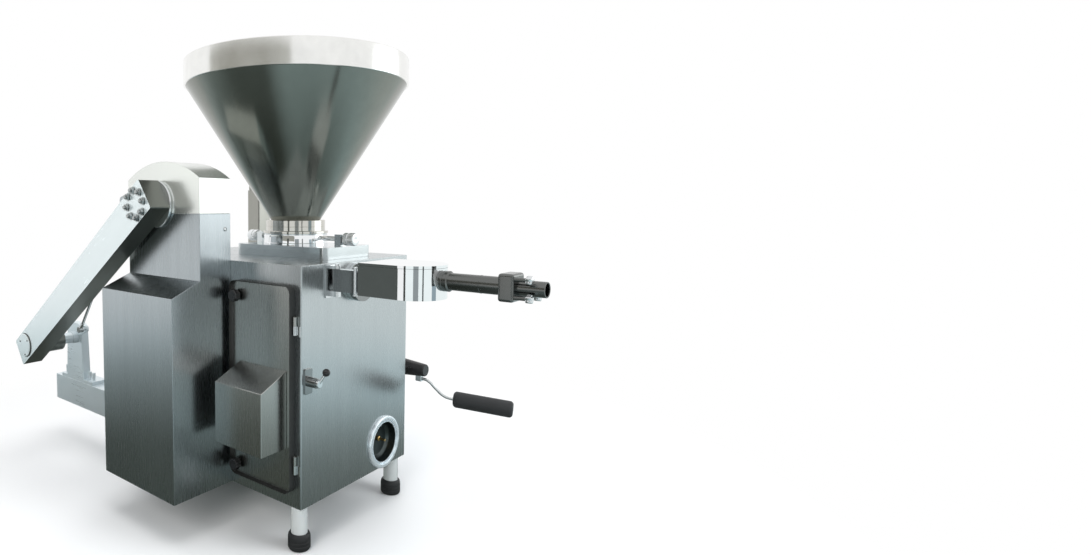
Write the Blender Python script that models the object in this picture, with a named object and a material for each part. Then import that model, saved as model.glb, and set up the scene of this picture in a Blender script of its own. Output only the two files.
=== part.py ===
"""Vacuum filling machine with a hopper, a lifting arm with a trolley fork, and a swivelling outlet head.

Machine frame, in metres: +X to the outlet side, +Y to the operator side, +Z up, the floor at 0.
The body's front sheet is the plane y = 0 and the body is centred on x = 0. An empty at the end moves
that frame so that the whole model stands with the middle of its base at the origin.
"""

import math

import bmesh
import bpy
from mathutils import Matrix, Vector

for old in list(bpy.data.objects):
    bpy.data.objects.remove(old, do_unlink=True)

# Clearance between faces that touch, the distance under which corners of one solid are one point, and how
# far a cutting tool goes past the face that it cuts
GAP = 0.0003
WELD = 0.000002
PAST = 0.010

# Sides of round solids, from pins and bolts up to the hopper
PIN_SIDES = 12
ROD_SIDES = 16
ROUND_SIDES = 20
WIDE_SIDES = 24
HOPPER_SIDES = 44

# Cabinet of welded sheet
BODY_WIDTH = 1.0
BODY_DEPTH = 0.75
BODY_BOTTOM = 0.184
BODY_TOP = 1.139
BODY_SHEET = 0.004
BODY_FOLD = 0.006
BODY_RIGHT = BODY_WIDTH / 2
BODY_LEFT = -BODY_RIGHT

# Legs and rubber feet
LEG_RADIUS = 0.034
FOOT_RADIUS = 0.046
FOOT_HEIGHT = 0.067
LEG_INSET_X = 0.048
LEG_INSET_Y = 0.045

# Column that carries the lifting arm
COLUMN_LEFT = BODY_LEFT + 0.109
COLUMN_RIGHT = BODY_RIGHT - 0.394
COLUMN_DEPTH = 0.309
COLUMN_SHEET = 0.003
COLUMN_SEAM = BODY_TOP + 0.195
NECK_DEPTH = 0.166
NECK_FOOT = COLUMN_SEAM - 0.270
COLUMN_SHOULDER = NECK_FOOT - 0.057
DOME_EAVES = COLUMN_SEAM + 0.145
DOME_TOP = DOME_EAVES + 0.074
DOME_STEPS = 8

# Lifting arm and its two pivots
ARM_PIVOT_X = COLUMN_LEFT + 0.223
ARM_PIVOT_Z = COLUMN_SEAM + 0.039
ARM_LENGTH = 1.290
ARM_DROP = math.radians(35.6)
ARM_FRONT = -NECK_DEPTH - 0.114
ARM_THICKNESS = 0.100
ARM_BACK = ARM_FRONT + ARM_THICKNESS
ARM_WIDTH = 0.146
ARM_SHEET = 0.005
ARM_EDGE = 0.010
ARM_TOP_END = 0.078
ARM_LOW_END = 0.094
LIFT_SHAFT_RADIUS = 0.045
SHAFT_PASSAGE_CLEARANCE = 0.004
FLANGE_RADIUS = 0.100
BOLT_CIRCLE = 0.058
BOLT_RADIUS = 0.008
BOLT_COUNT = 8
BOLT_REACH = 0.022
BOLT_CLEARANCE = 0.001
NUT_RADIUS = BOLT_RADIUS * 1.75
NUT_HEIGHT = BOLT_RADIUS * 1.7
FORK_PIVOT_X = ARM_PIVOT_X - ARM_LENGTH * math.cos(ARM_DROP)
FORK_PIVOT_Z = ARM_PIVOT_Z - ARM_LENGTH * math.sin(ARM_DROP)
FORK_SHAFT_RADIUS = 0.030
FORK_BOSS_RADIUS = 0.056
ARM_CAP_RADIUS = 0.062
ARM_CAP_THICKNESS = 0.008
ARM_CAP_EDGE = 0.004
RUNNING_CLEARANCE = 0.0006
BOSS_BORE = FORK_SHAFT_RADIUS + RUNNING_CLEARANCE

# Gearmotor of the lift, inside the column
GEAR_FRONT = -NECK_DEPTH + 0.012
GEAR_BACK = -GAP * 2 - COLUMN_SHEET
GEAR_HALF = 0.078
GEAR_EDGE = 0.020
GEAR_SHAFT_SINK = 0.030
LIFT_MOTOR_RADIUS = (GEAR_BACK - GEAR_FRONT) / 2 - 0.006
LIFT_MOTOR_LENGTH = 0.235
LIFT_MOTOR_CAP = 0.035

# Fork that holds the trolley
FORK_LEFT = FORK_PIVOT_X - 0.2381
FORK_FRONT = 0.011
FORK_BACK = 1.258
FORK_BAR = 0.100
FORK_RIGHT_FRONT = FORK_LEFT + 0.655
FORK_RIGHT_BACK = FORK_LEFT + 0.615
FORK_BOTTOM = 0.221
FORK_TOP = 0.367
FORK_SHEET = 0.004
FORK_DRAIN_RADIUS = 0.008
FORK_DRAIN_INSET = 0.050
PEDESTAL_LEFT = FORK_PIVOT_X - 0.1131
PEDESTAL_RIGHT = FORK_PIVOT_X + 0.0719
PEDESTAL_TAPER = 0.020
PEDESTAL_CORNER = 0.035
PEDESTAL_DEPTH = 0.045
PEDESTAL_TOP = FORK_PIVOT_Z + 0.078
PEDESTAL_PLATE = 0.018
PEDESTAL_PLATE_LEFT = PEDESTAL_LEFT - 0.065
PEDESTAL_PLATE_RIGHT = PEDESTAL_RIGHT + 0.086
PEDESTAL_WELD = 0.004
RIB_HALF = 0.008
RIB_DROP = 0.120
RIB_TOE = 0.020
PEDESTAL_BOLT_RADIUS = 0.009
PEDESTAL_BOLT_HEAD = 0.045
COLLAR_RADIUS = 0.034
COLLAR_FRONT = FORK_FRONT - 0.030
FORK_BOSS_END = COLLAR_FRONT - 0.061

# Trolley lock on the fork's rear bar
LOCK_LEFT = FORK_LEFT + 0.055
LOCK_LENGTH = 0.200
LOCK_DEPTH = 0.030
LOCK_INSET = 0.045
LOCK_WALL = 0.008
LOCK_LIP = 0.010
LOCK_MOUTH = 0.022
LOCK_BAR_LEFT = LOCK_LEFT + 0.070
LOCK_BAR_RIGHT = LOCK_LEFT + 0.190
LOCK_STEM_LEFT = LOCK_LEFT + 0.110
LOCK_STEM_WIDTH = 0.020
LOCK_GRIP_LENGTH = 0.110
LOCK_REACH = 0.062
LOCK_GRIP_DEPTH = 0.010

# Guide strut between the column and the fork pedestal
STRUT_TOP_X = COLUMN_LEFT - 0.226
STRUT_TOP_Z = ARM_PIVOT_Z + 0.013
STRUT_LOW_X = FORK_PIVOT_X + 0.1099
STRUT_LOW_Z = FORK_PIVOT_Z + 0.0599
STRUT_PLANE = COLLAR_FRONT - 0.001
STRUT_TUBE_RADIUS = 0.0115
STRUT_ROD_RADIUS = 0.0080
STRUT_SPAN = math.hypot(STRUT_TOP_X - STRUT_LOW_X, STRUT_TOP_Z - STRUT_LOW_Z)
STRUT_TUBE_LENGTH = STRUT_SPAN - 0.2378
STRUT_ROD_LENGTH = STRUT_SPAN - 0.2178
STRUT_EYE_RADIUS = 0.017
STRUT_EYE_WIDTH = 0.025
STRUT_PIN_RADIUS = 0.008
STRUT_PLUG = 0.040
STRUT_NUT_RADIUS = 0.011
STRUT_NUT_START = 0.020
STRUT_NUT_LENGTH = 0.025
STRUT_LUG_DEPTH = 0.016
STRUT_LUG_CORNER = 0.012
BRACKET_THICKNESS = 0.028
BRACKET_TOP = COLUMN_SEAM + 0.131
BRACKET_BOTTOM = COLUMN_SEAM - 0.014
BRACKET_TIP_HALF = 0.022
BRACKET_TIP_REACH = 0.012
BRACKET_CORNER = 0.018
PIN_END = 0.005

# Service door with its tool cover
DOOR_LEFT = COLUMN_RIGHT + 0.024
DOOR_RIGHT = BODY_RIGHT - 0.035
DOOR_BOTTOM = BODY_BOTTOM + 0.061
DOOR_TOP = BODY_TOP - 0.079
DOOR_THICKNESS = 0.014
DOOR_FRONT = -DOOR_THICKNESS
DOOR_SHEET = 0.003
DOOR_LAP = 0.020
DOOR_RETURN = 0.012
DOOR_CORNER = 0.030
HINGE_X = DOOR_RIGHT + 0.009
HINGE_Y = -0.008
HINGE_BARREL_RADIUS = 0.0076
HINGE_PIN_RADIUS = 0.0040
HINGE_BARREL_LENGTH = 0.070
HINGE_LEAF = 0.006
HINGE_STEP = 0.002
HINGE_HEIGHTS = {"lower": DOOR_BOTTOM + 0.115, "upper": DOOR_TOP - 0.152}
COVER_LEFT = DOOR_LEFT + 0.047
COVER_RIGHT = DOOR_RIGHT - 0.028
COVER_REACH = 0.141
COVER_BOTTOM = DOOR_BOTTOM + 0.175
COVER_FRONT_TOP = COVER_BOTTOM + 0.247
COVER_BACK_TOP = COVER_FRONT_TOP + 0.061
COVER_SHEET = 0.003
KNOB_X = DOOR_LEFT + 0.035
KNOB_RADIUS = 0.026
KNOB_LENGTH = 0.036
KNOB_SPINDLE_RADIUS = 0.007
KNOB_BOSS_RADIUS = 0.014
KNOB_TONGUE = 0.050
KNOB_TONGUE_HALF = 0.010
KNOB_TONGUE_SHEET = 0.004
KNOB_TONGUE_PLAY = 0.002
KNOB_HEIGHTS = {"lower": DOOR_BOTTOM + 0.045, "upper": DOOR_TOP - 0.060}

# Cover plate on the left side
PANEL_FRONT = 0.045
PANEL_BACK = BODY_DEPTH - 0.045
PANEL_BOTTOM = BODY_BOTTOM + 0.056
PANEL_TOP = BODY_TOP - 0.109
PANEL_DEPTH = 0.020
PANEL_SHEET = 0.003
PANEL_CORNER = 0.012

# Round port with its dish and nozzle on the right side
PORT_Y = BODY_DEPTH - 0.183
PORT_Z = BODY_BOTTOM + 0.116
PORT_RADIUS = 0.118
PORT_BORE = 0.090
PORT_RIM = 0.012
PORT_EDGE = 0.004
DISH_DEPTH = 0.045
DISH_SHEET = 0.004
DISH_LIP = 0.003
NOZZLE_OFFSET = 0.017
NOZZLE_FLANGE_RADIUS = 0.012
NOZZLE_FLANGE = 0.008
NOZZLE_RADIUS = 0.006
NOZZLE_LENGTH = 0.040

# Pump head on the deck and the drive below it
HOPPER_X = BODY_RIGHT - 0.402
HOPPER_Y = 0.419
PUMP_TOP = BODY_TOP + 0.101
PUMP_DRUM_RADIUS = 0.148
PUMP_BLOCK_LEFT = HOPPER_X - 0.238
PUMP_BLOCK_RIGHT = HOPPER_X + 0.312
PUMP_BLOCK_FRONT = HOPPER_Y - 0.164
PUMP_BLOCK_BACK = HOPPER_Y + 0.171
PUMP_BLOCK_CORNER = 0.035
PUMP_BLOCK_TOP = BODY_TOP + 0.051
PUMP_FLOOR = BODY_TOP - 0.154
PUMP_BASE = PUMP_FLOOR - 0.025
ROTOR_RADIUS = 0.108
ROTOR_CLEARANCE = 0.002
ROTOR_TOP = BODY_TOP - 0.009
ROTOR_FOOT = 0.012
VANE_COUNT = 12
VANE_HALF = 0.004
AUGER_RADIUS = 0.088
AUGER_TOP = PUMP_TOP + 0.180
AUGER_TURNS = 1.6
AUGER_STEPS = 24
AUGER_HUB_RADIUS = 0.040
AUGER_NECK_RADIUS = 0.022
AUGER_TIP_RADIUS = 0.016
AUGER_BLADE_ROOT = 0.006
AUGER_BLADE_EDGE = 0.002
DRIVE_SHAFT_RADIUS = 0.030
SHAFT_SINK = 0.060
GEARBOX_HALF = 0.130
GEARBOX_FLOOR = PUMP_BASE - 0.280
GEARBOX_EDGE = 0.012
MOTOR_RADIUS = 0.110
MOTOR_FLANGE = 0.015
MOTOR_FLANGE_REACH = 0.012
MOTOR_CAP = 0.050
MOTOR_FLOOR = GEARBOX_FLOOR - 0.350

# Vacuum pump on the cabinet's floor
VACUUM_X = (BODY_LEFT + HOPPER_X - MOTOR_RADIUS) / 2
VACUUM_Y = BODY_DEPTH - 0.250
VACUUM_HALF = VACUUM_X - BODY_LEFT - 0.094
VACUUM_FOOT_X = VACUUM_HALF - 0.030
VACUUM_FOOT_Y = 0.090
VACUUM_FOOT = 0.020
VACUUM_RADIUS = 0.090
VACUUM_AXIS = 0.105
VACUUM_PORT_RADIUS = 0.028
VACUUM_PORT_X = VACUUM_X - VACUUM_HALF * 0.4
VACUUM_PORT_TOP = 0.290

# Hopper and its neck
HOPPER_FOOT = PUMP_TOP + 0.0626
HOPPER_FOOT_RADIUS = 0.116
HOPPER_BAND = HOPPER_FOOT + 0.6014
HOPPER_TOP = HOPPER_BAND + 0.107
HOPPER_RIM_RADIUS = 0.5115
HOPPER_SHEET = 0.003
HOPPER_RIM = 0.008
HOPPER_EDGE = 0.002
NECK_RADIUS = 0.138
NECK_FLANGE_RADIUS = 0.152
NECK_FLANGE = 0.012
NECK_EDGE = 0.004

# Clamping screws that hold the hopper neck
CLAMP_Z = PUMP_BLOCK_TOP + 0.031
CLAMP_LUG = 0.034
CLAMP_LUG_HALF = 0.022
CLAMP_LUG_TOP = CLAMP_Z + 0.020
CLAMP_LUG_INSET = {"left": 0.004, "right": 0.030}
CLAMP_SCREW_RADIUS = 0.011
CLAMP_KNOB_GAP = 0.004
CLAMP_KNOB_RADIUS = 0.028
CLAMP_KNOB_LENGTH = 0.062
CLAMP_KNOB_EDGE = 0.006

# Outlet head
OUTLET_Y = HOPPER_Y - 0.069
OUTLET_Z = BODY_TOP - 0.089
OUTLET_DUCT_RADIUS = 0.060
OUTLET_BORE = 0.030
OUTLET_FLANGE_RADIUS = 0.080
OUTLET_FLANGE = 0.018
SWING_X = BODY_RIGHT + 0.030
SWING_Y = OUTLET_Y - 0.168
SWING_HALF = 0.021
SWING_BLOCK_REACH = 0.100
SWING_PLATE = 0.006
SWING_PLATE_FRONT = SWING_Y - 0.041
SWING_PLATE_BACK = SWING_Y + 0.049
SWING_PLATE_BOTTOM = OUTLET_Z - 0.047
SWING_PLATE_TOP = OUTLET_Z + 0.082
SWING_EAR_HALF = 0.014
SWING_EAR_INSET = 0.004
SWING_PIN_RADIUS = 0.009
HEAD_X = BODY_RIGHT + 0.330
HEAD_Y = SWING_Y + 0.074
HEAD_RADIUS = 0.125
HEAD_LEFT = HEAD_X - 0.165
HEAD_BOTTOM = OUTLET_Z - 0.020
HEAD_TOP = OUTLET_Z + 0.104
HEAD_STEPS = 14
HEAD_CORNER = 0.012
HEAD_SHOULDER = 0.050
HEAD_WALL = 0.014
ARM_BLOCK_TOP = HEAD_TOP - 0.036
ELBOW_HALF = 0.045
ELBOW_INSET = 0.004
ELBOW_START = 0.030
MOUTH_LENGTH = 0.022
DUCT_RADIUS = 0.040
DUCT_START = 0.010
DUCT_END = 0.045
PASSAGE_RADIUS = 0.017
PIPE_Z = OUTLET_Z + 0.048
PIPE_RADIUS = 0.031
PIPE_BORE = 0.022
PIPE_SEAT = 0.040
PIPE_COLLAR_RADIUS = 0.036
PIPE_COLLAR_LENGTH = 0.060
PIPE_END = HEAD_X + 0.343
PIPE_BLOCK_END = PIPE_END + 0.054
PIPE_BLOCK_HALF = 0.047
PIPE_BLOCK_CORNER = 0.018
PIPE_TIP = PIPE_BLOCK_END + 0.093
PIPE_STUD_Y = 0.036
PIPE_STUD_Z = 0.030
PIPE_STUD_RADIUS = 0.007
PIPE_STUD_LENGTH = 0.055
PIPE_KNOB_RADIUS = 0.015
PIPE_KNOB_START = 0.038
PIPE_KNOB_END = 0.060

# Side latch on the right side
LATCH_FRONT = 0.016
LATCH_BACK = 0.060
LATCH_BOTTOM = DOOR_BOTTOM + 0.395
LATCH_TOP = LATCH_BOTTOM + 0.100
LATCH_PLATE = 0.006
LATCH_BOSS_RADIUS = 0.020
LATCH_BOSS_REACH = 0.050
LATCH_HUB = 0.012
LATCH_LEAN = 0.030
LATCH_LEVER = 0.060
LATCH_STEM_RADIUS = 0.005
LATCH_BALL_RADIUS = 0.015

# Knee lever at the back
KNEE_X = BODY_RIGHT - 0.080
KNEE_Y = BODY_DEPTH + 0.100
KNEE_Z = BODY_BOTTOM + 0.396
KNEE_CAP_END = BODY_RIGHT + 0.050
KNEE_CAP_RADIUS = 0.040
KNEE_CAP_TIP_RADIUS = 0.029
KNEE_SHAFT_RADIUS = 0.012
KNEE_END_PLAY = 0.002
KNEE_CAP_WALL = 0.010
KNEE_PLATE = 0.006
KNEE_PLATE_REACH = (0.070, 0.030)
KNEE_PLATE_HALF = 0.060
KNEE_TONGUE_REACH = (0.050, 0.030)
KNEE_TONGUE_HALF = 0.030
KNEE_CLAMP_LEFT = BODY_RIGHT
KNEE_CLAMP_LENGTH = 0.030
KNEE_CLAMP_HALF = 0.014
KNEE_CLAMP_TOP = 0.020
KNEE_CLAMP_BOTTOM = 0.070
KNEE_ROD_DROP = 0.055
KNEE_ROD_RADIUS = 0.007
KNEE_ROD_INSERT = 0.100
KNEE_INLET = 0.014
KNEE_OVERLAP = 0.003
KNEE_PAD_START = (BODY_RIGHT + 0.171, KNEE_Y + 0.050, KNEE_Z - 0.125)
KNEE_PAD_END = (BODY_RIGHT + 0.424, KNEE_Y + 0.130, KNEE_Z - 0.140)
KNEE_PAD_RADIUS = 0.0375
KNEE_PAD_EDGE = 0.010
KNEE_PAD_FALL = 0.008

# Control box on its post
CONTROL_LEFT = BODY_LEFT - 0.025
CONTROL_RIGHT = CONTROL_LEFT + 0.235
CONTROL_FRONT = BODY_DEPTH - 0.030
CONTROL_BACK = CONTROL_FRONT + 0.230
CONTROL_BOTTOM = BODY_TOP + 0.311
CONTROL_TOP = CONTROL_BOTTOM + 0.395
CONTROL_CORNER = 0.012
POST_LEFT = CONTROL_LEFT + 0.055
POST_WIDTH = 0.090
POST_SHEET = 0.004
POST_CORNER = 0.008
POST_INSET = 0.006
POST_DRAIN_RADIUS = 0.008
POST_DRAIN_HEIGHT = 0.050
BRIDGE_DROP = 0.020
BRIDGE_INSET = 0.050
SCREEN_BEZEL = 0.030
SCREEN_SILL = 0.110
SCREEN_CORNER = 0.006
SCREEN_THICKNESS = 0.008
SCREEN_SINK = 0.001

# Mains lead
GLAND_X = BODY_LEFT + 0.044
GLAND_Z = BODY_BOTTOM + 0.144
GLAND_RADIUS = 0.018
GLAND_NUT_RADIUS = 0.015
GLAND_NOSE_RADIUS = 0.009
GLAND_PLATE = 0.010
GLAND_NUT = 0.022
GLAND_LENGTH = 0.035
CORD_RADIUS = 0.007
CORD_START = GLAND_LENGTH + GAP * 5 / 3
COIL_X = BODY_LEFT + 0.200
COIL_Y = 0.330
COIL_RADIUS = 0.080
COIL_HALF_WIDTH = 0.021
COIL_HEIGHT = 0.029
PLUG_RADIUS = 0.024
PLUG_LENGTH = 0.110
PLUG_SLEEVE_RADIUS = 0.010
PLUG_SLEEVE = 0.030
PLUG_SHOULDER = 0.040
PLUG_EDGE = 0.010
PLUG_PIN_RADIUS = 0.003
PLUG_PIN_CIRCLE = 0.012
PLUG_PIN_LENGTH = 0.018

machine = bpy.data.objects.new("machine", None)
bpy.context.collection.objects.link(machine)
machine.location = (-(FORK_LEFT + PIPE_TIP) / 2, (COLUMN_DEPTH - FORK_BACK) / 2, 0)


def material(name, colour, roughness, metallic):
    """A plain Principled material for one kind of surface."""
    look = bpy.data.materials.new(name)
    look.use_nodes = True
    shader = look.node_tree.nodes["Principled BSDF"]
    shader.inputs["Base Color"].default_value = (*colour, 1)
    shader.inputs["Roughness"].default_value = roughness
    shader.inputs["Metallic"].default_value = metallic
    return look


BRUSHED = ("brushed_steel", (0.56, 0.57, 0.57), 0.35, 1.0)
POLISHED = ("polished_steel", (0.80, 0.81, 0.82), 0.08, 1.0)
DARK_STEEL = ("satin_dark_steel", (0.30, 0.30, 0.29), 0.30, 1.0)
CASTING = ("painted_casting", (0.24, 0.27, 0.29), 0.50, 0.0)
RUBBER = ("black_rubber", (0.02, 0.02, 0.02), 0.80, 0.0)
PLASTIC = ("black_plastic", (0.03, 0.03, 0.03), 0.40, 0.0)
BRASS = ("brass", (0.70, 0.52, 0.25), 0.30, 1.0)
GLASS = ("screen_glass", (0.02, 0.03, 0.04), 0.10, 0.0)


def empty(name, at):
    """An empty on a joint's axis, which carries the pieces that move with it."""
    holder = bpy.data.objects.new(name, None)
    bpy.context.collection.objects.link(holder)
    holder.parent = machine
    holder.location = at
    return holder


def raw(bm):
    """A mesh object in the machine frame from a bmesh, with its faces pointing out."""
    bmesh.ops.recalc_face_normals(bm, faces=bm.faces)
    mesh = bpy.data.meshes.new("solid")
    bm.to_mesh(mesh)
    bm.free()
    piece = bpy.data.objects.new("solid", mesh)
    bpy.context.collection.objects.link(piece)
    return piece


def block(low, high, edge=0.0):
    """A box between two corners, with its edges rounded over if an edge radius is given."""
    bm = bmesh.new()
    centre = (Vector(low) + Vector(high)) / 2
    size = Vector(high) - Vector(low)
    bmesh.ops.create_cube(bm, size=1, matrix=Matrix.Translation(centre) @ Matrix.Diagonal((*size, 1)))
    if edge:
        bmesh.ops.bevel(bm, geom=bm.edges[:], offset=edge, segments=2, affect="EDGES", profile=0.5)
    return raw(bm)


def rounded(corners, radius, steps=3):
    """A closed outline with an arc of the given radius, or list of radii, at each corner."""
    radii = radius if isinstance(radius, (list, tuple)) else [radius] * len(corners)
    outline = []
    for index, corner in enumerate(corners):
        here = Vector(corner)
        before = (Vector(corners[index - 1]) - here).normalized()
        after = (Vector(corners[(index + 1) % len(corners)]) - here).normalized()
        if radii[index] <= 0:
            outline.append(tuple(here))
            continue
        half = before.angle(after) / 2
        reach = radii[index] / math.tan(half)
        middle = here + (before + after).normalized() * radii[index] / math.sin(half)
        first = here + before * reach - middle
        last = here + after * reach - middle
        for step in range(steps + 1):
            outline.append(tuple(middle + first.slerp(last, step / steps).normalized() * radii[index]))
    return outline


def slab(outline, axis, start, end):
    """An outline pushed along x, y or z. Its points give the other two axes in their order."""
    place = {"x": lambda u, v, w: (w, u, v), "y": lambda u, v, w: (u, w, v), "z": lambda u, v, w: (u, v, w)}
    bm = bmesh.new()
    rows = []
    for level in (start, end):
        rows.append([bm.verts.new(place[axis](u, v, level)) for u, v in outline])
    count = len(outline)
    bm.faces.new(rows[0])
    bm.faces.new(rows[1][::-1])
    for index in range(count):
        after = (index + 1) % count
        bm.faces.new((rows[0][index], rows[0][after], rows[1][after], rows[1][index]))
    return raw(bm)


def turned(profile, at, along, sides=ROUND_SIDES):
    """A turned solid. The profile gives (radius, distance) points along the axis from a place."""
    bm = bmesh.new()
    turn = Vector((0, 0, 1)).rotation_difference(Vector(along).normalized()).to_matrix().to_4x4()
    place = Matrix.Translation(at) @ turn
    rows = []
    for radius, distance in profile:
        if radius == 0:
            rows.append([bm.verts.new(place @ Vector((0, 0, distance)))] * sides)
            continue
        angles = [2 * math.pi * side / sides for side in range(sides)]
        rows.append([bm.verts.new(place @ Vector((radius * math.cos(a), radius * math.sin(a), distance)))
                     for a in angles])
    last = len(rows) if profile[0][0] and profile[-1][0] else len(rows) - 1
    for index in range(last):
        lower = rows[index]
        upper = rows[(index + 1) % len(rows)]
        for side in range(sides):
            after = (side + 1) % sides
            corners = []
            for vertex in (lower[side], lower[after], upper[after], upper[side]):
                if vertex not in corners:
                    corners.append(vertex)
            bm.faces.new(corners)
    return raw(bm)


def rod(radius, start, end, sides=ROD_SIDES):
    """A plain round bar between two points."""
    reach = (Vector(end) - Vector(start)).length
    return turned([(0, 0), (radius, 0), (radius, reach), (0, reach)], start, Vector(end) - Vector(start), sides)


def combine(body, tools, operation):
    """Joins the tools to a body one by one, or cuts them out of it, and removes them."""
    for tool in tools:
        change = body.modifiers.new(operation, "BOOLEAN")
        change.operation = operation
        change.solver = "EXACT"
        change.object = tool
        graph = bpy.context.evaluated_depsgraph_get()
        bm = bmesh.new()
        bm.from_object(body, graph)
        bmesh.ops.remove_doubles(bm, verts=bm.verts, dist=WELD)
        bmesh.ops.dissolve_degenerate(bm, edges=bm.edges, dist=WELD)
        body.modifiers.clear()
        bm.to_mesh(body.data)
        bm.free()
        bpy.data.objects.remove(tool, do_unlink=True)
    return body


def fuse(body, *others):
    """One solid made of several that run into each other."""
    return combine(body, others, "UNION")


def cut(body, *tools):
    """A solid with the tools' shapes taken out of it."""
    return combine(body, tools, "DIFFERENCE")


def node(name, piece, look, carrier=machine):
    """Names a finished piece, gives it its material and hangs it on what carries it."""
    piece.name = name
    piece.data.name = name
    piece.data.materials.clear()
    piece.data.materials.append(material(name, *look[1:]))
    seat = Vector((0, 0, 0)) if carrier is machine else Vector(carrier.location)
    piece.data.transform(Matrix.Translation(-seat))
    piece.parent = carrier
    piece.data.shade_smooth()
    piece.data.set_sharp_from_angle(angle=math.radians(35))
    return piece


def frame_outline(low_u, low_v, high_u, high_v, radius, steps=3):
    """The outline of a rectangle with round corners."""
    return rounded([(low_u, low_v), (high_u, low_v), (high_u, high_v), (low_u, high_v)], radius, steps)


def lengthwise(start, end, before, after, half_width):
    """Corners of a strip between two pivots in the plane of X and Z."""
    line = (Vector(end) - Vector(start)).normalized()
    side = Vector((-line.y, line.x)) * half_width
    first = Vector(start) - line * before
    last = Vector(end) + line * after
    return [tuple(first - side), tuple(last - side), tuple(last + side), tuple(first + side)]


def cabinet():
    """Welded cabinet with its door opening and the holes that the pump, the port and the knobs need."""
    shell = slab(frame_outline(BODY_LEFT, 0, BODY_RIGHT, BODY_DEPTH, BODY_FOLD, 2), "z", BODY_BOTTOM, BODY_TOP)
    hollow = block((BODY_LEFT + BODY_SHEET, BODY_SHEET, BODY_BOTTOM + BODY_SHEET),
                   (BODY_RIGHT - BODY_SHEET, BODY_DEPTH - BODY_SHEET, BODY_TOP - BODY_SHEET))
    doorway = slab(frame_outline(DOOR_LEFT + DOOR_LAP, DOOR_BOTTOM + DOOR_LAP, DOOR_RIGHT - DOOR_LAP,
                                 DOOR_TOP - DOOR_LAP, DOOR_CORNER - DOOR_LAP / 2), "y", -PAST, BODY_SHEET * 2)
    well = rod(PUMP_DRUM_RADIUS + RUNNING_CLEARANCE, (HOPPER_X, HOPPER_Y, BODY_TOP - BODY_SHEET * 2),
               (HOPPER_X, HOPPER_Y, BODY_TOP + PAST), WIDE_SIDES)
    inside = BODY_RIGHT - BODY_SHEET * 2
    spout = rod(OUTLET_DUCT_RADIUS + RUNNING_CLEARANCE, (inside, OUTLET_Y, OUTLET_Z),
                (BODY_RIGHT + PAST, OUTLET_Y, OUTLET_Z), ROUND_SIDES)
    port_hole = rod(PORT_BORE + RUNNING_CLEARANCE, (inside, PORT_Y, PORT_Z),
                    (BODY_RIGHT + PAST, PORT_Y, PORT_Z),
                    WIDE_SIDES)
    node("base_housing", cut(shell, hollow, doorway, well, spout, port_hole), BRUSHED)


def legs():
    """Four tubular legs under the cabinet, each in a rubber foot."""
    for side, x in (("left", BODY_LEFT + LEG_INSET_X), ("right", BODY_RIGHT - LEG_INSET_X)):
        for end, y in (("front", LEG_INSET_Y), ("rear", BODY_DEPTH - LEG_INSET_Y)):
            top = BODY_BOTTOM - GAP
            bottom = FOOT_HEIGHT + GAP
            node(f"leg_{end}_{side}", rod(LEG_RADIUS, (x, y, bottom), (x, y, top)), BRUSHED)
            foot = turned([(0, 0), (FOOT_RADIUS * 0.9, 0), (FOOT_RADIUS, FOOT_HEIGHT * 0.12),
                           (FOOT_RADIUS, FOOT_HEIGHT * 0.75), (FOOT_RADIUS * 0.88, FOOT_HEIGHT),
                           (0, FOOT_HEIGHT)], (x, y, 0), (0, 0, 1), ROD_SIDES)
            node(f"foot_{end}_{side}", foot, RUBBER)


def column_profile(inset, back, top):
    """Side profile of the column, from its low front up over the shoulder to the seam."""
    front = -COLUMN_DEPTH + inset
    neck = -NECK_DEPTH + inset
    drop = inset * 0.7
    return [(back, BODY_BOTTOM + inset), (front, BODY_BOTTOM + inset), (front, COLUMN_SHOULDER - drop),
            (neck, NECK_FOOT - drop), (neck, top), (back, top)]


def dome_arch(inset, foot):
    """Outline of the domed head from one side of the column over the top to the other."""
    middle = (COLUMN_LEFT + COLUMN_RIGHT) / 2
    half = (COLUMN_RIGHT - COLUMN_LEFT) / 2
    rise = DOME_TOP - DOME_EAVES
    radius = (half * half + rise * rise) / (2 * rise)
    sweep = math.asin(half / radius)
    points = [(COLUMN_RIGHT - inset, foot)]
    for step in range(2 * DOME_STEPS + 1):
        angle = sweep * (1 - step / DOME_STEPS)
        points.append((middle + radius * math.sin(angle) * (half - inset) / half,
                       DOME_TOP - radius + (radius - inset) * math.cos(angle)))
    points.append((COLUMN_LEFT + inset, foot))
    return points


def shaft_passage():
    """The round hole that the lift shaft takes through the column's front."""
    return rod(LIFT_SHAFT_RADIUS + SHAFT_PASSAGE_CLEARANCE, (ARM_PIVOT_X, -NECK_DEPTH - PAST, ARM_PIVOT_Z),
               (ARM_PIVOT_X, -NECK_DEPTH + PAST, ARM_PIVOT_Z), WIDE_SIDES)


def column():
    """Folded column casing in front of the cabinet, and the domed head that closes it."""
    back = -GAP
    left = COLUMN_LEFT + COLUMN_SHEET
    right = COLUMN_RIGHT - COLUMN_SHEET
    casing = slab(column_profile(0, back, COLUMN_SEAM), "x", COLUMN_LEFT, COLUMN_RIGHT)
    inside = slab(column_profile(COLUMN_SHEET, back - COLUMN_SHEET, COLUMN_SEAM + PAST), "x", left, right)
    rear = block((left, -2 * PAST, BODY_BOTTOM + COLUMN_SHEET), (right, PAST, NECK_FOOT))
    node("column_casing", cut(casing, inside, rear, shaft_passage()), BRUSHED)

    head = slab(dome_arch(0, COLUMN_SEAM + GAP), "y", -NECK_DEPTH, back)
    hollow = slab(dome_arch(COLUMN_SHEET, COLUMN_SEAM - PAST), "y", -NECK_DEPTH + COLUMN_SHEET,
                  back - COLUMN_SHEET)
    node("column_dome", cut(head, hollow, shaft_passage()), BRUSHED)


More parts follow.
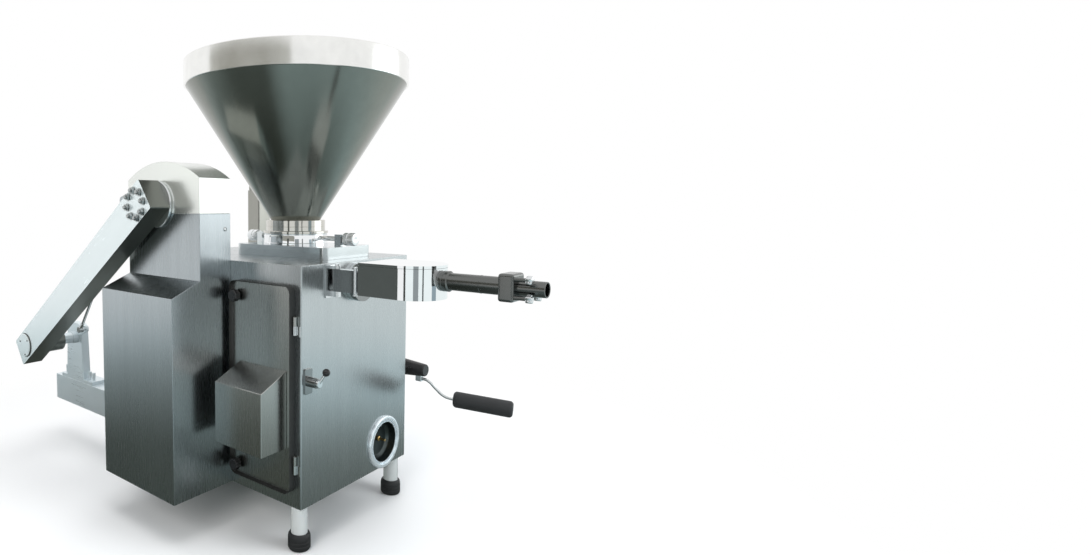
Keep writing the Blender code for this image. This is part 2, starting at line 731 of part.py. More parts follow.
def lift_drive():
    """Hollow-shaft gearmotor inside the column, its motor hanging down."""
    x, z = ARM_PIVOT_X, ARM_PIVOT_Z
    housing = slab(frame_outline(x - GEAR_HALF, z - GEAR_HALF, x + GEAR_HALF, z + GEAR_HALF, GEAR_EDGE), "y",
                   GEAR_FRONT, GEAR_BACK)
    motor = turned([(0, 0), (LIFT_MOTOR_RADIUS, 0), (LIFT_MOTOR_RADIUS, LIFT_MOTOR_CAP - LIFT_MOTOR_LENGTH),
                    (LIFT_MOTOR_RADIUS * 0.9, -LIFT_MOTOR_LENGTH), (0, -LIFT_MOTOR_LENGTH)],
                   (x, (GEAR_FRONT + GEAR_BACK) / 2, z - GEAR_HALF + PAST), (0, 0, 1))
    bore = rod(LIFT_SHAFT_RADIUS + RUNNING_CLEARANCE, (x, GEAR_FRONT - PAST, z), (x, GEAR_BACK - 2 * PAST, z),
               WIDE_SIDES)
    node("lift_gearmotor", cut(fuse(housing, motor), bore), CASTING)


def bolt_places():
    """Centres of the arm's bolts round the lift shaft, in the plane of X and Z."""
    places = []
    for index in range(BOLT_COUNT):
        angle = 2 * math.pi * (index + 0.5) / BOLT_COUNT + ARM_DROP
        places.append((ARM_PIVOT_X + BOLT_CIRCLE * math.cos(angle),
                       ARM_PIVOT_Z + BOLT_CIRCLE * math.sin(angle)))
    return places


def lift_arm(swing):
    """Hollow box arm, its bolted shaft flange at the top and its cap at the foot."""
    top = (ARM_PIVOT_X, ARM_PIVOT_Z)
    foot = (FORK_PIVOT_X, FORK_PIVOT_Z)
    half = ARM_WIDTH / 2
    outer = slab(rounded(lengthwise(top, foot, ARM_TOP_END, ARM_LOW_END, half), ARM_EDGE, 3), "y", ARM_FRONT,
                 ARM_BACK)
    inner = slab(lengthwise(top, foot, ARM_TOP_END - ARM_SHEET, ARM_LOW_END - ARM_SHEET, half - ARM_SHEET), "y",
                 ARM_FRONT + ARM_SHEET, ARM_BACK - ARM_SHEET)
    boss = rod(FORK_BOSS_RADIUS, (foot[0], ARM_FRONT + ARM_SHEET / 2, foot[1]),
               (foot[0], FORK_BOSS_END, foot[1]),
               WIDE_SIDES)
    bore = rod(BOSS_BORE, (foot[0], ARM_FRONT - PAST, foot[1]), (foot[0], FORK_BOSS_END + PAST, foot[1]),
               ROUND_SIDES)
    holes = []
    for x, z in bolt_places():
        holes.append(rod(BOLT_RADIUS + BOLT_CLEARANCE, (x, ARM_FRONT - PAST, z), (x, ARM_BACK + PAST, z), 6))
    arm = fuse(cut(outer, inner), boss)
    node("lift_arm", cut(arm, bore, *holes), BRUSHED, swing)

    shaft = rod(LIFT_SHAFT_RADIUS, (top[0], ARM_BACK + ARM_SHEET, top[1]),
                (top[0], GEAR_BACK - GEAR_SHAFT_SINK, top[1]), WIDE_SIDES)
    flange = rod(FLANGE_RADIUS, (top[0], ARM_BACK + GAP, top[1]), (top[0], -NECK_DEPTH - GAP * 2, top[1]),
                 WIDE_SIDES)
    studs = []
    for x, z in bolt_places():
        studs.append(rod(BOLT_RADIUS, (x, ARM_FRONT - BOLT_REACH, z), (x, ARM_BACK + ARM_SHEET * 0.8, z), 6))
        studs.append(rod(NUT_RADIUS, (x, ARM_FRONT - NUT_HEIGHT, z), (x, ARM_FRONT - GAP, z), 6))
    node("lift_shaft", fuse(shaft, flange, *studs), POLISHED, swing)

    cap = turned([(0, GAP), (ARM_CAP_RADIUS, GAP), (ARM_CAP_RADIUS, ARM_CAP_THICKNESS * 0.7),
                  (ARM_CAP_RADIUS - ARM_CAP_EDGE, ARM_CAP_THICKNESS), (0, ARM_CAP_THICKNESS)],
                 (foot[0], ARM_FRONT, foot[1]), (0, -1, 0), WIDE_SIDES)
    node("arm_end_cap", cap, BRUSHED, swing)


def fork_plan(inset):
    """Outline of the open fork seen from above, drawn in by a sheet's thickness or not at all."""
    left, front, back, bar = FORK_LEFT + inset, FORK_FRONT, FORK_BACK, FORK_BAR
    right_front = FORK_RIGHT_FRONT - inset
    right_back = FORK_RIGHT_BACK - inset
    return [(left, front + inset), (right_front, front + inset), (right_back, back - inset),
            (left, back - inset),
            (left, back - bar + inset), (right_back - bar, back - bar + inset),
            (right_front - bar, front + bar - inset), (left, front + bar - inset)]


def fork(tilt):
    """Open trolley fork of box section, its pedestal and the pivot shaft that carries it on the arm."""
    beam = slab(fork_plan(0), "z", FORK_BOTTOM, FORK_TOP)
    core = slab(fork_plan(FORK_SHEET), "z", FORK_BOTTOM + FORK_SHEET, FORK_TOP - FORK_SHEET)
    drains = []
    for y in (FORK_FRONT + FORK_BAR / 2, FORK_BACK - FORK_BAR / 2):
        x = FORK_LEFT + FORK_DRAIN_INSET
        drains.append(rod(FORK_DRAIN_RADIUS, (x, y, FORK_BOTTOM - PAST), (x, y, FORK_BOTTOM + PAST), PIN_SIDES))
    node("fork_frame", cut(beam, core, *drains), BRUSHED, tilt)

    base = FORK_TOP + GAP
    plate_top = base + PEDESTAL_PLATE
    middle = (PEDESTAL_LEFT + PEDESTAL_RIGHT) / 2
    web_front = FORK_FRONT + PEDESTAL_WELD / 2
    web_back = web_front + PEDESTAL_DEPTH
    plate_back = FORK_FRONT + FORK_BAR - PEDESTAL_WELD
    foot = base + PEDESTAL_WELD
    plate = slab(frame_outline(PEDESTAL_PLATE_LEFT, web_front, PEDESTAL_PLATE_RIGHT, plate_back, RIB_HALF), "z",
                 base, plate_top)
    web_outline = rounded([(PEDESTAL_LEFT, foot), (PEDESTAL_RIGHT, foot),
                           (PEDESTAL_RIGHT - PEDESTAL_TAPER, PEDESTAL_TOP),
                           (PEDESTAL_LEFT + PEDESTAL_TAPER, PEDESTAL_TOP)],
                           [0, 0, PEDESTAL_CORNER, PEDESTAL_CORNER])
    web = slab(web_outline, "y", web_front, web_back)
    rib_back = plate_back - PEDESTAL_WELD * 1.5
    rib = slab([(web_back - PAST, foot), (rib_back, foot), (rib_back, plate_top + RIB_TOE),
                (web_back - PAST, PEDESTAL_TOP - RIB_DROP)], "x", middle - RIB_HALF, middle + RIB_HALF)
    lug_back = STRUT_PLANE + STRUT_EYE_WIDTH / 2 + GAP
    lug_front = FORK_FRONT + PEDESTAL_WELD * 2.5 - STRUT_LUG_DEPTH
    lug_strip = lengthwise((middle, FORK_PIVOT_Z), (STRUT_LOW_X, STRUT_LOW_Z), 0, STRUT_EYE_RADIUS,
                           STRUT_EYE_RADIUS)
    strut_lug = slab(rounded(lug_strip, [0, STRUT_LUG_CORNER, STRUT_LUG_CORNER, 0]), "y", lug_front,
                     lug_front + STRUT_LUG_DEPTH)
    strut_stop = rod(STRUT_PIN_RADIUS, (STRUT_LOW_X, lug_back, STRUT_LOW_Z),
                     (STRUT_LOW_X, FORK_FRONT, STRUT_LOW_Z), PIN_SIDES)
    bolts = []
    inset = PEDESTAL_BOLT_RADIUS * 2.5
    for x in (PEDESTAL_PLATE_LEFT + inset, PEDESTAL_PLATE_RIGHT - inset, PEDESTAL_PLATE_RIGHT - inset * 2.7):
        y = FORK_FRONT + FORK_BAR * 0.3
        bolts.append(rod(PEDESTAL_BOLT_RADIUS, (x, y, plate_top - PEDESTAL_WELD / 2),
                         (x, y, plate_top + PEDESTAL_BOLT_HEAD), 6))
    seat = rod(FORK_SHAFT_RADIUS, (FORK_PIVOT_X, ARM_FRONT + ARM_SHEET * 1.2, FORK_PIVOT_Z),
               (FORK_PIVOT_X, FORK_FRONT + PEDESTAL_DEPTH, FORK_PIVOT_Z), ROUND_SIDES)
    collar = rod(COLLAR_RADIUS, (FORK_PIVOT_X, COLLAR_FRONT, FORK_PIVOT_Z),
                 (FORK_PIVOT_X, FORK_FRONT + PAST, FORK_PIVOT_Z), ROUND_SIDES)
    node("fork_pedestal", fuse(plate, web, rib, strut_lug, strut_stop, collar, seat, *bolts), BRUSHED, tilt)


def trolley_lock(tilt, slide):
    """Guide rail on the fork's rear bar and the bolt with a bent handle that slides in it."""
    y = FORK_BACK - FORK_BAR
    low = FORK_BOTTOM + LOCK_INSET
    high = FORK_TOP - LOCK_INSET
    right = LOCK_LEFT + LOCK_LENGTH
    slot_front = y - LOCK_DEPTH + LOCK_WALL
    slot_back = y - LOCK_WALL
    guide = block((LOCK_LEFT, y - LOCK_DEPTH, low), (right, y - GAP, high))
    slot = block((LOCK_LEFT - PAST, slot_front, low + LOCK_LIP), (right + PAST, slot_back, high - LOCK_LIP))
    mouth = block((LOCK_LEFT - PAST, y - LOCK_DEPTH - PAST, low + LOCK_MOUTH),
                  (right + PAST, slot_back, high - LOCK_MOUTH))
    node("lock_guide", cut(guide, slot, mouth), BRUSHED, tilt)
    play = RUNNING_CLEARANCE
    bar = block((LOCK_BAR_LEFT, slot_front + play, low + LOCK_LIP + play),
                (LOCK_BAR_RIGHT, slot_back - play, high - LOCK_LIP - play))
    grip_front = y - LOCK_REACH
    stem = block((LOCK_STEM_LEFT, grip_front + LOCK_GRIP_DEPTH * 0.7, low + LOCK_MOUTH + play),
                 (LOCK_STEM_LEFT + LOCK_STEM_WIDTH, y - LOCK_DEPTH / 2, high - LOCK_MOUTH - play))
    grip = block((LOCK_STEM_LEFT, grip_front, low + LOCK_MOUTH + play),
                 (LOCK_STEM_LEFT + LOCK_GRIP_LENGTH, grip_front + LOCK_GRIP_DEPTH, high - LOCK_MOUTH - play),
                 0.002)
    node("lock_bolt", fuse(bar, stem, grip), DARK_STEEL, slide)


def strut(swing, extend):
    """Bracket on the column and the telescopic strut that guides the fork."""
    top = Vector((STRUT_TOP_X, STRUT_PLANE, STRUT_TOP_Z))
    low = Vector((STRUT_LOW_X, STRUT_PLANE, STRUT_LOW_Z))
    line = (low - top).normalized()
    eye_front = STRUT_PLANE - STRUT_EYE_WIDTH / 2
    eye_back = STRUT_PLANE + STRUT_EYE_WIDTH / 2
    back = eye_front - GAP
    tip = STRUT_TOP_X - BRACKET_TIP_REACH
    corners = [(COLUMN_LEFT - GAP, BRACKET_BOTTOM), (COLUMN_LEFT - GAP, BRACKET_TOP),
               (tip, STRUT_TOP_Z + BRACKET_TIP_HALF), (tip, STRUT_TOP_Z - BRACKET_TIP_HALF)]
    gusset = slab(rounded(corners, [0, 0, BRACKET_CORNER, BRACKET_CORNER]), "y", back - BRACKET_THICKNESS, back)
    pin = rod(STRUT_PIN_RADIUS, (STRUT_TOP_X, back - PAST, STRUT_TOP_Z),
              (STRUT_TOP_X, eye_back + PIN_END, STRUT_TOP_Z), PIN_SIDES)
    node("strut_bracket", fuse(gusset, pin), BRUSHED)

    eye = rod(STRUT_EYE_RADIUS, (top.x, eye_front, top.z), (top.x, eye_back, top.z))
    tube = rod(STRUT_TUBE_RADIUS, top, top + line * STRUT_TUBE_LENGTH)
    hole = rod(STRUT_PIN_RADIUS + RUNNING_CLEARANCE, (top.x, eye_front - PAST, top.z),
               (top.x, eye_back + PAST, top.z), PIN_SIDES)
    bore = rod(STRUT_ROD_RADIUS + RUNNING_CLEARANCE, top + line * STRUT_PLUG,
               top + line * (STRUT_TUBE_LENGTH + PAST), PIN_SIDES)
    node("strut_tube", cut(fuse(tube, eye), hole, bore), BRUSHED, swing)

    eye = rod(STRUT_EYE_RADIUS, (low.x, eye_front, low.z), (low.x, eye_back, low.z))
    plunger = rod(STRUT_ROD_RADIUS, low, low - line * STRUT_ROD_LENGTH, PIN_SIDES)
    nut = rod(STRUT_NUT_RADIUS, low - line * STRUT_NUT_START,
              low - line * (STRUT_NUT_START + STRUT_NUT_LENGTH), 6)
    node("strut_rod", fuse(plunger, eye, nut), POLISHED, extend)


def door(swing):
    """Service door with pressed edges, its tool cover and its two hinges."""
    front = DOOR_FRONT
    leaf = slab(frame_outline(DOOR_LEFT, DOOR_BOTTOM, DOOR_RIGHT, DOOR_TOP, DOOR_CORNER), "y", front, -GAP)
    pan = slab(frame_outline(DOOR_LEFT + DOOR_RETURN, DOOR_BOTTOM + DOOR_RETURN, DOOR_RIGHT - DOOR_RETURN,
                             DOOR_TOP - DOOR_RETURN, DOOR_CORNER - DOOR_RETURN), "y", front + DOOR_SHEET, PAST)
    half_leaf = HINGE_LEAF / 2
    knuckles = []
    for height in HINGE_HEIGHTS.values():
        low = height + GAP
        high = height + HINGE_BARREL_LENGTH / 2
        barrel = rod(HINGE_BARREL_RADIUS, (HINGE_X, HINGE_Y, low), (HINGE_X, HINGE_Y, high), PIN_SIDES)
        web = block((DOOR_RIGHT - PAST, HINGE_Y - half_leaf, low + HINGE_STEP),
                    (HINGE_X - HINGE_PIN_RADIUS * 1.4, HINGE_Y + half_leaf, high - HINGE_STEP))
        bore = rod(HINGE_PIN_RADIUS + RUNNING_CLEARANCE, (HINGE_X, HINGE_Y, low - PAST),
                   (HINGE_X, HINGE_Y, high + PAST), PIN_SIDES)
        knuckles.append(cut(fuse(barrel, web), bore))
    holes = []
    bosses = []
    for height in KNOB_HEIGHTS.values():
        bosses.append(rod(KNOB_BOSS_RADIUS, (KNOB_X, front + DOOR_SHEET * 0.7, height), (KNOB_X, -GAP, height)))
        holes.append(rod(KNOB_SPINDLE_RADIUS + RUNNING_CLEARANCE, (KNOB_X, front - PAST, height),
                         (KNOB_X, PAST, height), PIN_SIDES))
    node("service_door", cut(fuse(cut(leaf, pan), *knuckles, *bosses), *holes), BRUSHED, swing)

    reach = front - COVER_REACH
    outside = [(front - GAP, COVER_BOTTOM), (reach, COVER_BOTTOM), (reach, COVER_FRONT_TOP),
               (front - GAP, COVER_BACK_TOP)]
    sheet = COVER_SHEET
    inside = [(front + PAST, COVER_BOTTOM + sheet), (reach + sheet, COVER_BOTTOM + sheet),
              (reach + sheet, COVER_FRONT_TOP - sheet), (front + PAST, COVER_BACK_TOP - sheet)]
    hood = slab(outside, "x", COVER_LEFT, COVER_RIGHT)
    hollow = slab(inside, "x", COVER_LEFT + sheet, COVER_RIGHT - sheet)
    node("door_cover", cut(hood, hollow), BRUSHED, swing)

    for name, height in HINGE_HEIGHTS.items():
        low = height - HINGE_BARREL_LENGTH / 2
        high = height - GAP
        barrel = rod(HINGE_BARREL_RADIUS, (HINGE_X, HINGE_Y, low), (HINGE_X, HINGE_Y, high), PIN_SIDES)
        pin_top = height + HINGE_BARREL_LENGTH / 2 - HINGE_STEP
        pin = rod(HINGE_PIN_RADIUS, (HINGE_X, HINGE_Y, height - PAST), (HINGE_X, HINGE_Y, pin_top), PIN_SIDES)
        wing = block((HINGE_X - half_leaf, HINGE_Y, low + HINGE_STEP / 2),
                     (HINGE_X + half_leaf * 0.8, -HINGE_STEP, high - HINGE_STEP / 2))
        flap = block((HINGE_X - HINGE_PIN_RADIUS, -HINGE_STEP * 2, low - HINGE_LEAF),
                     (BODY_RIGHT - HINGE_PIN_RADIUS, -GAP, high - HINGE_STEP / 4))
        node(f"door_hinge_{name}", fuse(barrel, pin, wing, flap), BRUSHED)


def door_knobs(turns):
    """Black turn knobs through the door, each with a steel tongue behind it."""
    front = DOOR_FRONT - GAP
    tongue_front = BODY_SHEET + KNOB_TONGUE_PLAY
    tongue_back = tongue_front + KNOB_TONGUE_SHEET
    for name, height in KNOB_HEIGHTS.items():
        knob = turned([(0, 0), (KNOB_RADIUS * 0.55, 0), (KNOB_RADIUS * 0.6, KNOB_LENGTH * 0.2),
                       (KNOB_RADIUS, KNOB_LENGTH * 0.4), (KNOB_RADIUS, KNOB_LENGTH * 0.8),
                       (KNOB_RADIUS * 0.8, KNOB_LENGTH), (0, KNOB_LENGTH)], (KNOB_X, front, height), (0, -1, 0),
                      ROD_SIDES)
        spindle = rod(KNOB_SPINDLE_RADIUS, (KNOB_X, front - KNOB_LENGTH / 7, height),
                      (KNOB_X, tongue_back - KNOB_TONGUE_SHEET / 4, height), PIN_SIDES)
        reach = -KNOB_TONGUE if name == "upper" else KNOB_TONGUE
        low, high = sorted((height - math.copysign(KNOB_TONGUE_HALF, reach), height + reach))
        tongue = block((KNOB_X - KNOB_TONGUE_HALF, tongue_front, low),
                       (KNOB_X + KNOB_TONGUE_HALF, tongue_back, high))
        node(f"door_knob_{name}", fuse(knob, spindle, tongue), PLASTIC, turns[name])


def side_panel():
    """Cover plate on the left side, folded like a shallow tray."""
    sheet = PANEL_SHEET
    outer = slab(frame_outline(PANEL_FRONT, PANEL_BOTTOM, PANEL_BACK, PANEL_TOP, PANEL_CORNER, 3), "x",
                 BODY_LEFT - PANEL_DEPTH, BODY_LEFT - GAP)
    inner = slab(frame_outline(PANEL_FRONT + sheet, PANEL_BOTTOM + sheet, PANEL_BACK - sheet, PANEL_TOP - sheet,
                               PANEL_CORNER - sheet, 3), "x", BODY_LEFT - PANEL_DEPTH + sheet, BODY_LEFT + PAST)
    node("left_side_panel", cut(outer, inner), BRUSHED)


def port():
    """Round port: ring on the side sheet, dish behind it and a small nozzle in the dish."""
    place = (BODY_RIGHT, PORT_Y, PORT_Z)
    ring = turned([(PORT_BORE, GAP), (PORT_RADIUS, GAP), (PORT_RADIUS, PORT_RIM * 0.6),
                   (PORT_RADIUS - PORT_EDGE, PORT_RIM), (PORT_BORE + PORT_EDGE, PORT_RIM),
                   (PORT_BORE, PORT_RIM * 0.6)], place, (1, 0, 0), WIDE_SIDES)
    node("port_ring", ring, BRUSHED)
    lip = PORT_BORE - GAP * 2
    floor = -DISH_DEPTH + DISH_SHEET
    dish = turned([(0, -DISH_DEPTH), (lip * 0.75, -DISH_DEPTH), (lip, -DISH_DEPTH * 0.6), (lip, PORT_RIM * 0.5),
                   (lip - DISH_LIP, PORT_RIM * 0.5), (lip - DISH_LIP, -DISH_DEPTH * 0.6 + DISH_LIP * 0.7),
                   (lip * 0.72, floor), (0, floor)], place, (1, 0, 0), WIDE_SIDES)
    node("port_dish", dish, BRUSHED)
    seat = floor + GAP
    tip = seat + NOZZLE_LENGTH
    nozzle = turned([(0, seat), (NOZZLE_FLANGE_RADIUS, seat), (NOZZLE_FLANGE_RADIUS, seat + NOZZLE_FLANGE),
                     (NOZZLE_RADIUS, seat + NOZZLE_FLANGE * 1.25), (NOZZLE_RADIUS, tip), (0, tip)],
                    (BODY_RIGHT, PORT_Y + NOZZLE_OFFSET, PORT_Z), (1, 0, 0), PIN_SIDES)
    node("drain_nozzle", nozzle, BRASS)


def clamp_lugs():
    """The stretch of X that each clamping screw's lug covers on the pump head."""
    left = PUMP_BLOCK_LEFT + CLAMP_LUG_INSET["left"]
    right = PUMP_BLOCK_RIGHT - CLAMP_LUG_INSET["right"]
    return {"left": (left, left + CLAMP_LUG), "right": (right - CLAMP_LUG, right)}


def pump(spin):
    """Pump head on the deck with its duct, the vaned rotor, the feed auger and the drive below."""
    centre = (HOPPER_X, HOPPER_Y)
    plate = slab(frame_outline(PUMP_BLOCK_LEFT, PUMP_BLOCK_FRONT, PUMP_BLOCK_RIGHT, PUMP_BLOCK_BACK,
                               PUMP_BLOCK_CORNER), "z", BODY_TOP + GAP, PUMP_BLOCK_TOP)
    drum = rod(PUMP_DRUM_RADIUS, (*centre, PUMP_BASE), (*centre, PUMP_TOP), WIDE_SIDES)
    duct = rod(OUTLET_DUCT_RADIUS, (HOPPER_X + ROTOR_RADIUS * 0.8, OUTLET_Y, OUTLET_Z),
               (BODY_RIGHT, OUTLET_Y, OUTLET_Z), ROUND_SIDES)
    chamber = rod(ROTOR_RADIUS + ROTOR_CLEARANCE, (*centre, PUMP_FLOOR), (*centre, PUMP_TOP + PAST), WIDE_SIDES)
    channel = rod(OUTLET_BORE, (HOPPER_X + ROTOR_RADIUS / 2, OUTLET_Y, OUTLET_Z),
                  (BODY_RIGHT + PAST, OUTLET_Y, OUTLET_Z), ROD_SIDES)
    shaft_hole = rod(DRIVE_SHAFT_RADIUS + RUNNING_CLEARANCE, (*centre, PUMP_BASE - PAST),
                     (*centre, PUMP_FLOOR + PAST), ROUND_SIDES)
    lugs = []
    screws = []
    for start, end in clamp_lugs().values():
        lugs.append(block((start, HOPPER_Y - CLAMP_LUG_HALF, PUMP_BLOCK_TOP - PAST),
                          (end, HOPPER_Y + CLAMP_LUG_HALF, CLAMP_LUG_TOP)))
        screws.append(rod(CLAMP_SCREW_RADIUS + RUNNING_CLEARANCE, (start - PAST, HOPPER_Y, CLAMP_Z),
                          (end + PAST, HOPPER_Y, CLAMP_Z), PIN_SIDES))
    housing = fuse(plate, drum, duct, *lugs)
    node("pump_housing", cut(housing, chamber, channel, shaft_hole, *screws), BRUSHED)

    floor = PUMP_FLOOR + GAP
    hub = rod(ROTOR_RADIUS * 0.55, (*centre, floor + VANE_HALF), (*centre, ROTOR_TOP), ROUND_SIDES)
    foot = rod(ROTOR_RADIUS, (*centre, floor), (*centre, floor + ROTOR_FOOT), WIDE_SIDES)
    stub = rod(DRIVE_SHAFT_RADIUS, (*centre, PUMP_BASE - SHAFT_SINK), (*centre, PUMP_FLOOR + PAST), ROUND_SIDES)
    vanes = []
    for index in range(VANE_COUNT):
        vane = block((ROTOR_RADIUS * 0.4, -VANE_HALF, floor + ROTOR_FOOT / 2),
                     (ROTOR_RADIUS - VANE_HALF / 4, VANE_HALF, ROTOR_TOP - VANE_HALF / 2))
        turn = Matrix.Rotation(2 * math.pi * index / VANE_COUNT, 4, "Z")
        vane.data.transform(Matrix.Translation((*centre, 0)) @ turn)
        vanes.append(vane)
    node("pump_rotor", fuse(hub, foot, stub, *vanes), POLISHED, spin)

    bottom = ROTOR_TOP + GAP
    core = turned([(0, bottom), (AUGER_HUB_RADIUS, bottom),
                   (AUGER_HUB_RADIUS, bottom + AUGER_HUB_RADIUS * 0.75),
                   (AUGER_NECK_RADIUS, bottom + AUGER_HUB_RADIUS * 2), (AUGER_TIP_RADIUS, AUGER_TOP),
                   (0, AUGER_TOP)], (*centre, 0), (0, 0, 1), ROD_SIDES)
    flight = auger_flight(bottom + AUGER_BLADE_ROOT * 2, AUGER_TOP - AUGER_BLADE_ROOT * 5)
    node("feed_auger", fuse(core, flight), POLISHED, spin)


def auger_flight(low, high):
    """Helical blade of the feed auger, thickest at its hub."""
    bm = bmesh.new()
    rows = []
    root = AUGER_TIP_RADIUS * 0.75
    section = ((root, -AUGER_BLADE_ROOT), (AUGER_RADIUS, -AUGER_BLADE_EDGE), (AUGER_RADIUS, AUGER_BLADE_EDGE),
               (root, AUGER_BLADE_ROOT))
    for step in range(AUGER_STEPS + 1):
        share = step / AUGER_STEPS
        angle = 2 * math.pi * AUGER_TURNS * share
        level = low + (high - low) * share
        rows.append([bm.verts.new((HOPPER_X + radius * math.cos(angle), HOPPER_Y + radius * math.sin(angle),
                                   level + lift)) for radius, lift in section])
    for first, second in zip(rows, rows[1:]):
        for index in range(4):
            after = (index + 1) % 4
            bm.faces.new((first[index], first[after], second[after], second[index]))
    bm.faces.new(rows[0])
    bm.faces.new(rows[-1][::-1])
    return raw(bm)


def pump_drive():
    """Gearbox under the pump and the flanged motor under the gearbox."""
    centre = (HOPPER_X, HOPPER_Y)
    box = block((HOPPER_X - GEARBOX_HALF, HOPPER_Y - GEARBOX_HALF, GEARBOX_FLOOR),
                (HOPPER_X + GEARBOX_HALF, HOPPER_Y + GEARBOX_HALF, PUMP_BASE - GAP), GEARBOX_EDGE)
    bore = rod(DRIVE_SHAFT_RADIUS + RUNNING_CLEARANCE, (*centre, PUMP_BASE - SHAFT_SINK - 2 * PAST),
               (*centre, PUMP_BASE + PAST), ROUND_SIDES)
    node("pump_gearbox", cut(box, bore), CASTING)
    top = GEARBOX_FLOOR - GAP
    step = top - MOTOR_FLANGE
    rim = MOTOR_RADIUS + MOTOR_FLANGE_REACH
    motor = turned([(0, top), (rim, top), (rim, step), (MOTOR_RADIUS, step),
                    (MOTOR_RADIUS, MOTOR_FLOOR + MOTOR_CAP), (MOTOR_RADIUS * 0.92, MOTOR_FLOOR),
                    (0, MOTOR_FLOOR)],
                   (*centre, 0), (0, 0, 1))
    node("drive_motor", motor, CASTING)


def vacuum_pump():
    """Vane vacuum pump on the cabinet's floor."""
    floor = BODY_BOTTOM + BODY_SHEET + GAP
    axis = floor + VACUUM_AXIS
    foot = block((VACUUM_X - VACUUM_FOOT_X, VACUUM_Y - VACUUM_FOOT_Y, floor),
                 (VACUUM_X + VACUUM_FOOT_X, VACUUM_Y + VACUUM_FOOT_Y, floor + VACUUM_FOOT))
    barrel = rod(VACUUM_RADIUS, (VACUUM_X - VACUUM_HALF, VACUUM_Y, axis),
                 (VACUUM_X + VACUUM_HALF, VACUUM_Y, axis),
                 ROUND_SIDES)
    stack = rod(VACUUM_PORT_RADIUS, (VACUUM_PORT_X, VACUUM_Y, axis + VACUUM_RADIUS / 2),
                (VACUUM_PORT_X, VACUUM_Y, floor + VACUUM_PORT_TOP))
    node("vacuum_pump", fuse(foot, barrel, stack), CASTING)


def hopper():
    """Spun cone hopper with its rolled rim band, and the collar that joins it to the pump."""
    centre = (HOPPER_X, HOPPER_Y)
    band = HOPPER_RIM_RADIUS
    inner = HOPPER_FOOT_RADIUS - HOPPER_SHEET
    cone = [(HOPPER_FOOT_RADIUS, HOPPER_FOOT), (band - HOPPER_EDGE, HOPPER_BAND),
            (band, HOPPER_BAND + HOPPER_EDGE), (band, HOPPER_TOP - HOPPER_EDGE * 2),
            (band - HOPPER_SHEET, HOPPER_TOP), (band - HOPPER_RIM, HOPPER_TOP),
            (band - HOPPER_RIM, HOPPER_BAND),
            (inner, HOPPER_FOOT)]
    node("hopper", turned(cone, (*centre, 0), (0, 0, 1), HOPPER_SIDES), BRUSHED)
    low = PUMP_TOP + GAP
    high = HOPPER_FOOT - GAP
    collar = [(inner, low), (NECK_FLANGE_RADIUS, low), (NECK_FLANGE_RADIUS, low + NECK_FLANGE),
              (NECK_RADIUS, low + NECK_FLANGE), (NECK_RADIUS - NECK_EDGE, high), (inner, high)]
    node("hopper_neck", turned(collar, (*centre, 0), (0, 0, 1), WIDE_SIDES), POLISHED)


def clamp_screws(turns):
    """Knurled knobs on screws that press the hopper's foot from two sides."""
    for name, (start, end) in clamp_lugs().items():
        side = 1 if name == "right" else -1
        lug = end if name == "right" else start
        tip = HOPPER_X + side * (PUMP_DRUM_RADIUS + GAP)
        knob_start = lug + side * CLAMP_KNOB_GAP
        screw = rod(CLAMP_SCREW_RADIUS, (tip, HOPPER_Y, CLAMP_Z), (knob_start + side * PAST, HOPPER_Y, CLAMP_Z),
                    PIN_SIDES)
        knob = turned([(0, 0), (CLAMP_KNOB_RADIUS * 0.7, 0), (CLAMP_KNOB_RADIUS, CLAMP_KNOB_EDGE * 1.3),
                       (CLAMP_KNOB_RADIUS, CLAMP_KNOB_LENGTH - CLAMP_KNOB_EDGE),
                       (CLAMP_KNOB_RADIUS - CLAMP_KNOB_EDGE, CLAMP_KNOB_LENGTH), (0, CLAMP_KNOB_LENGTH)],
                      (knob_start, HOPPER_Y, CLAMP_Z), (side, 0, 0))
        node(f"clamp_screw_{name}", fuse(screw, knob), POLISHED, turns[name])


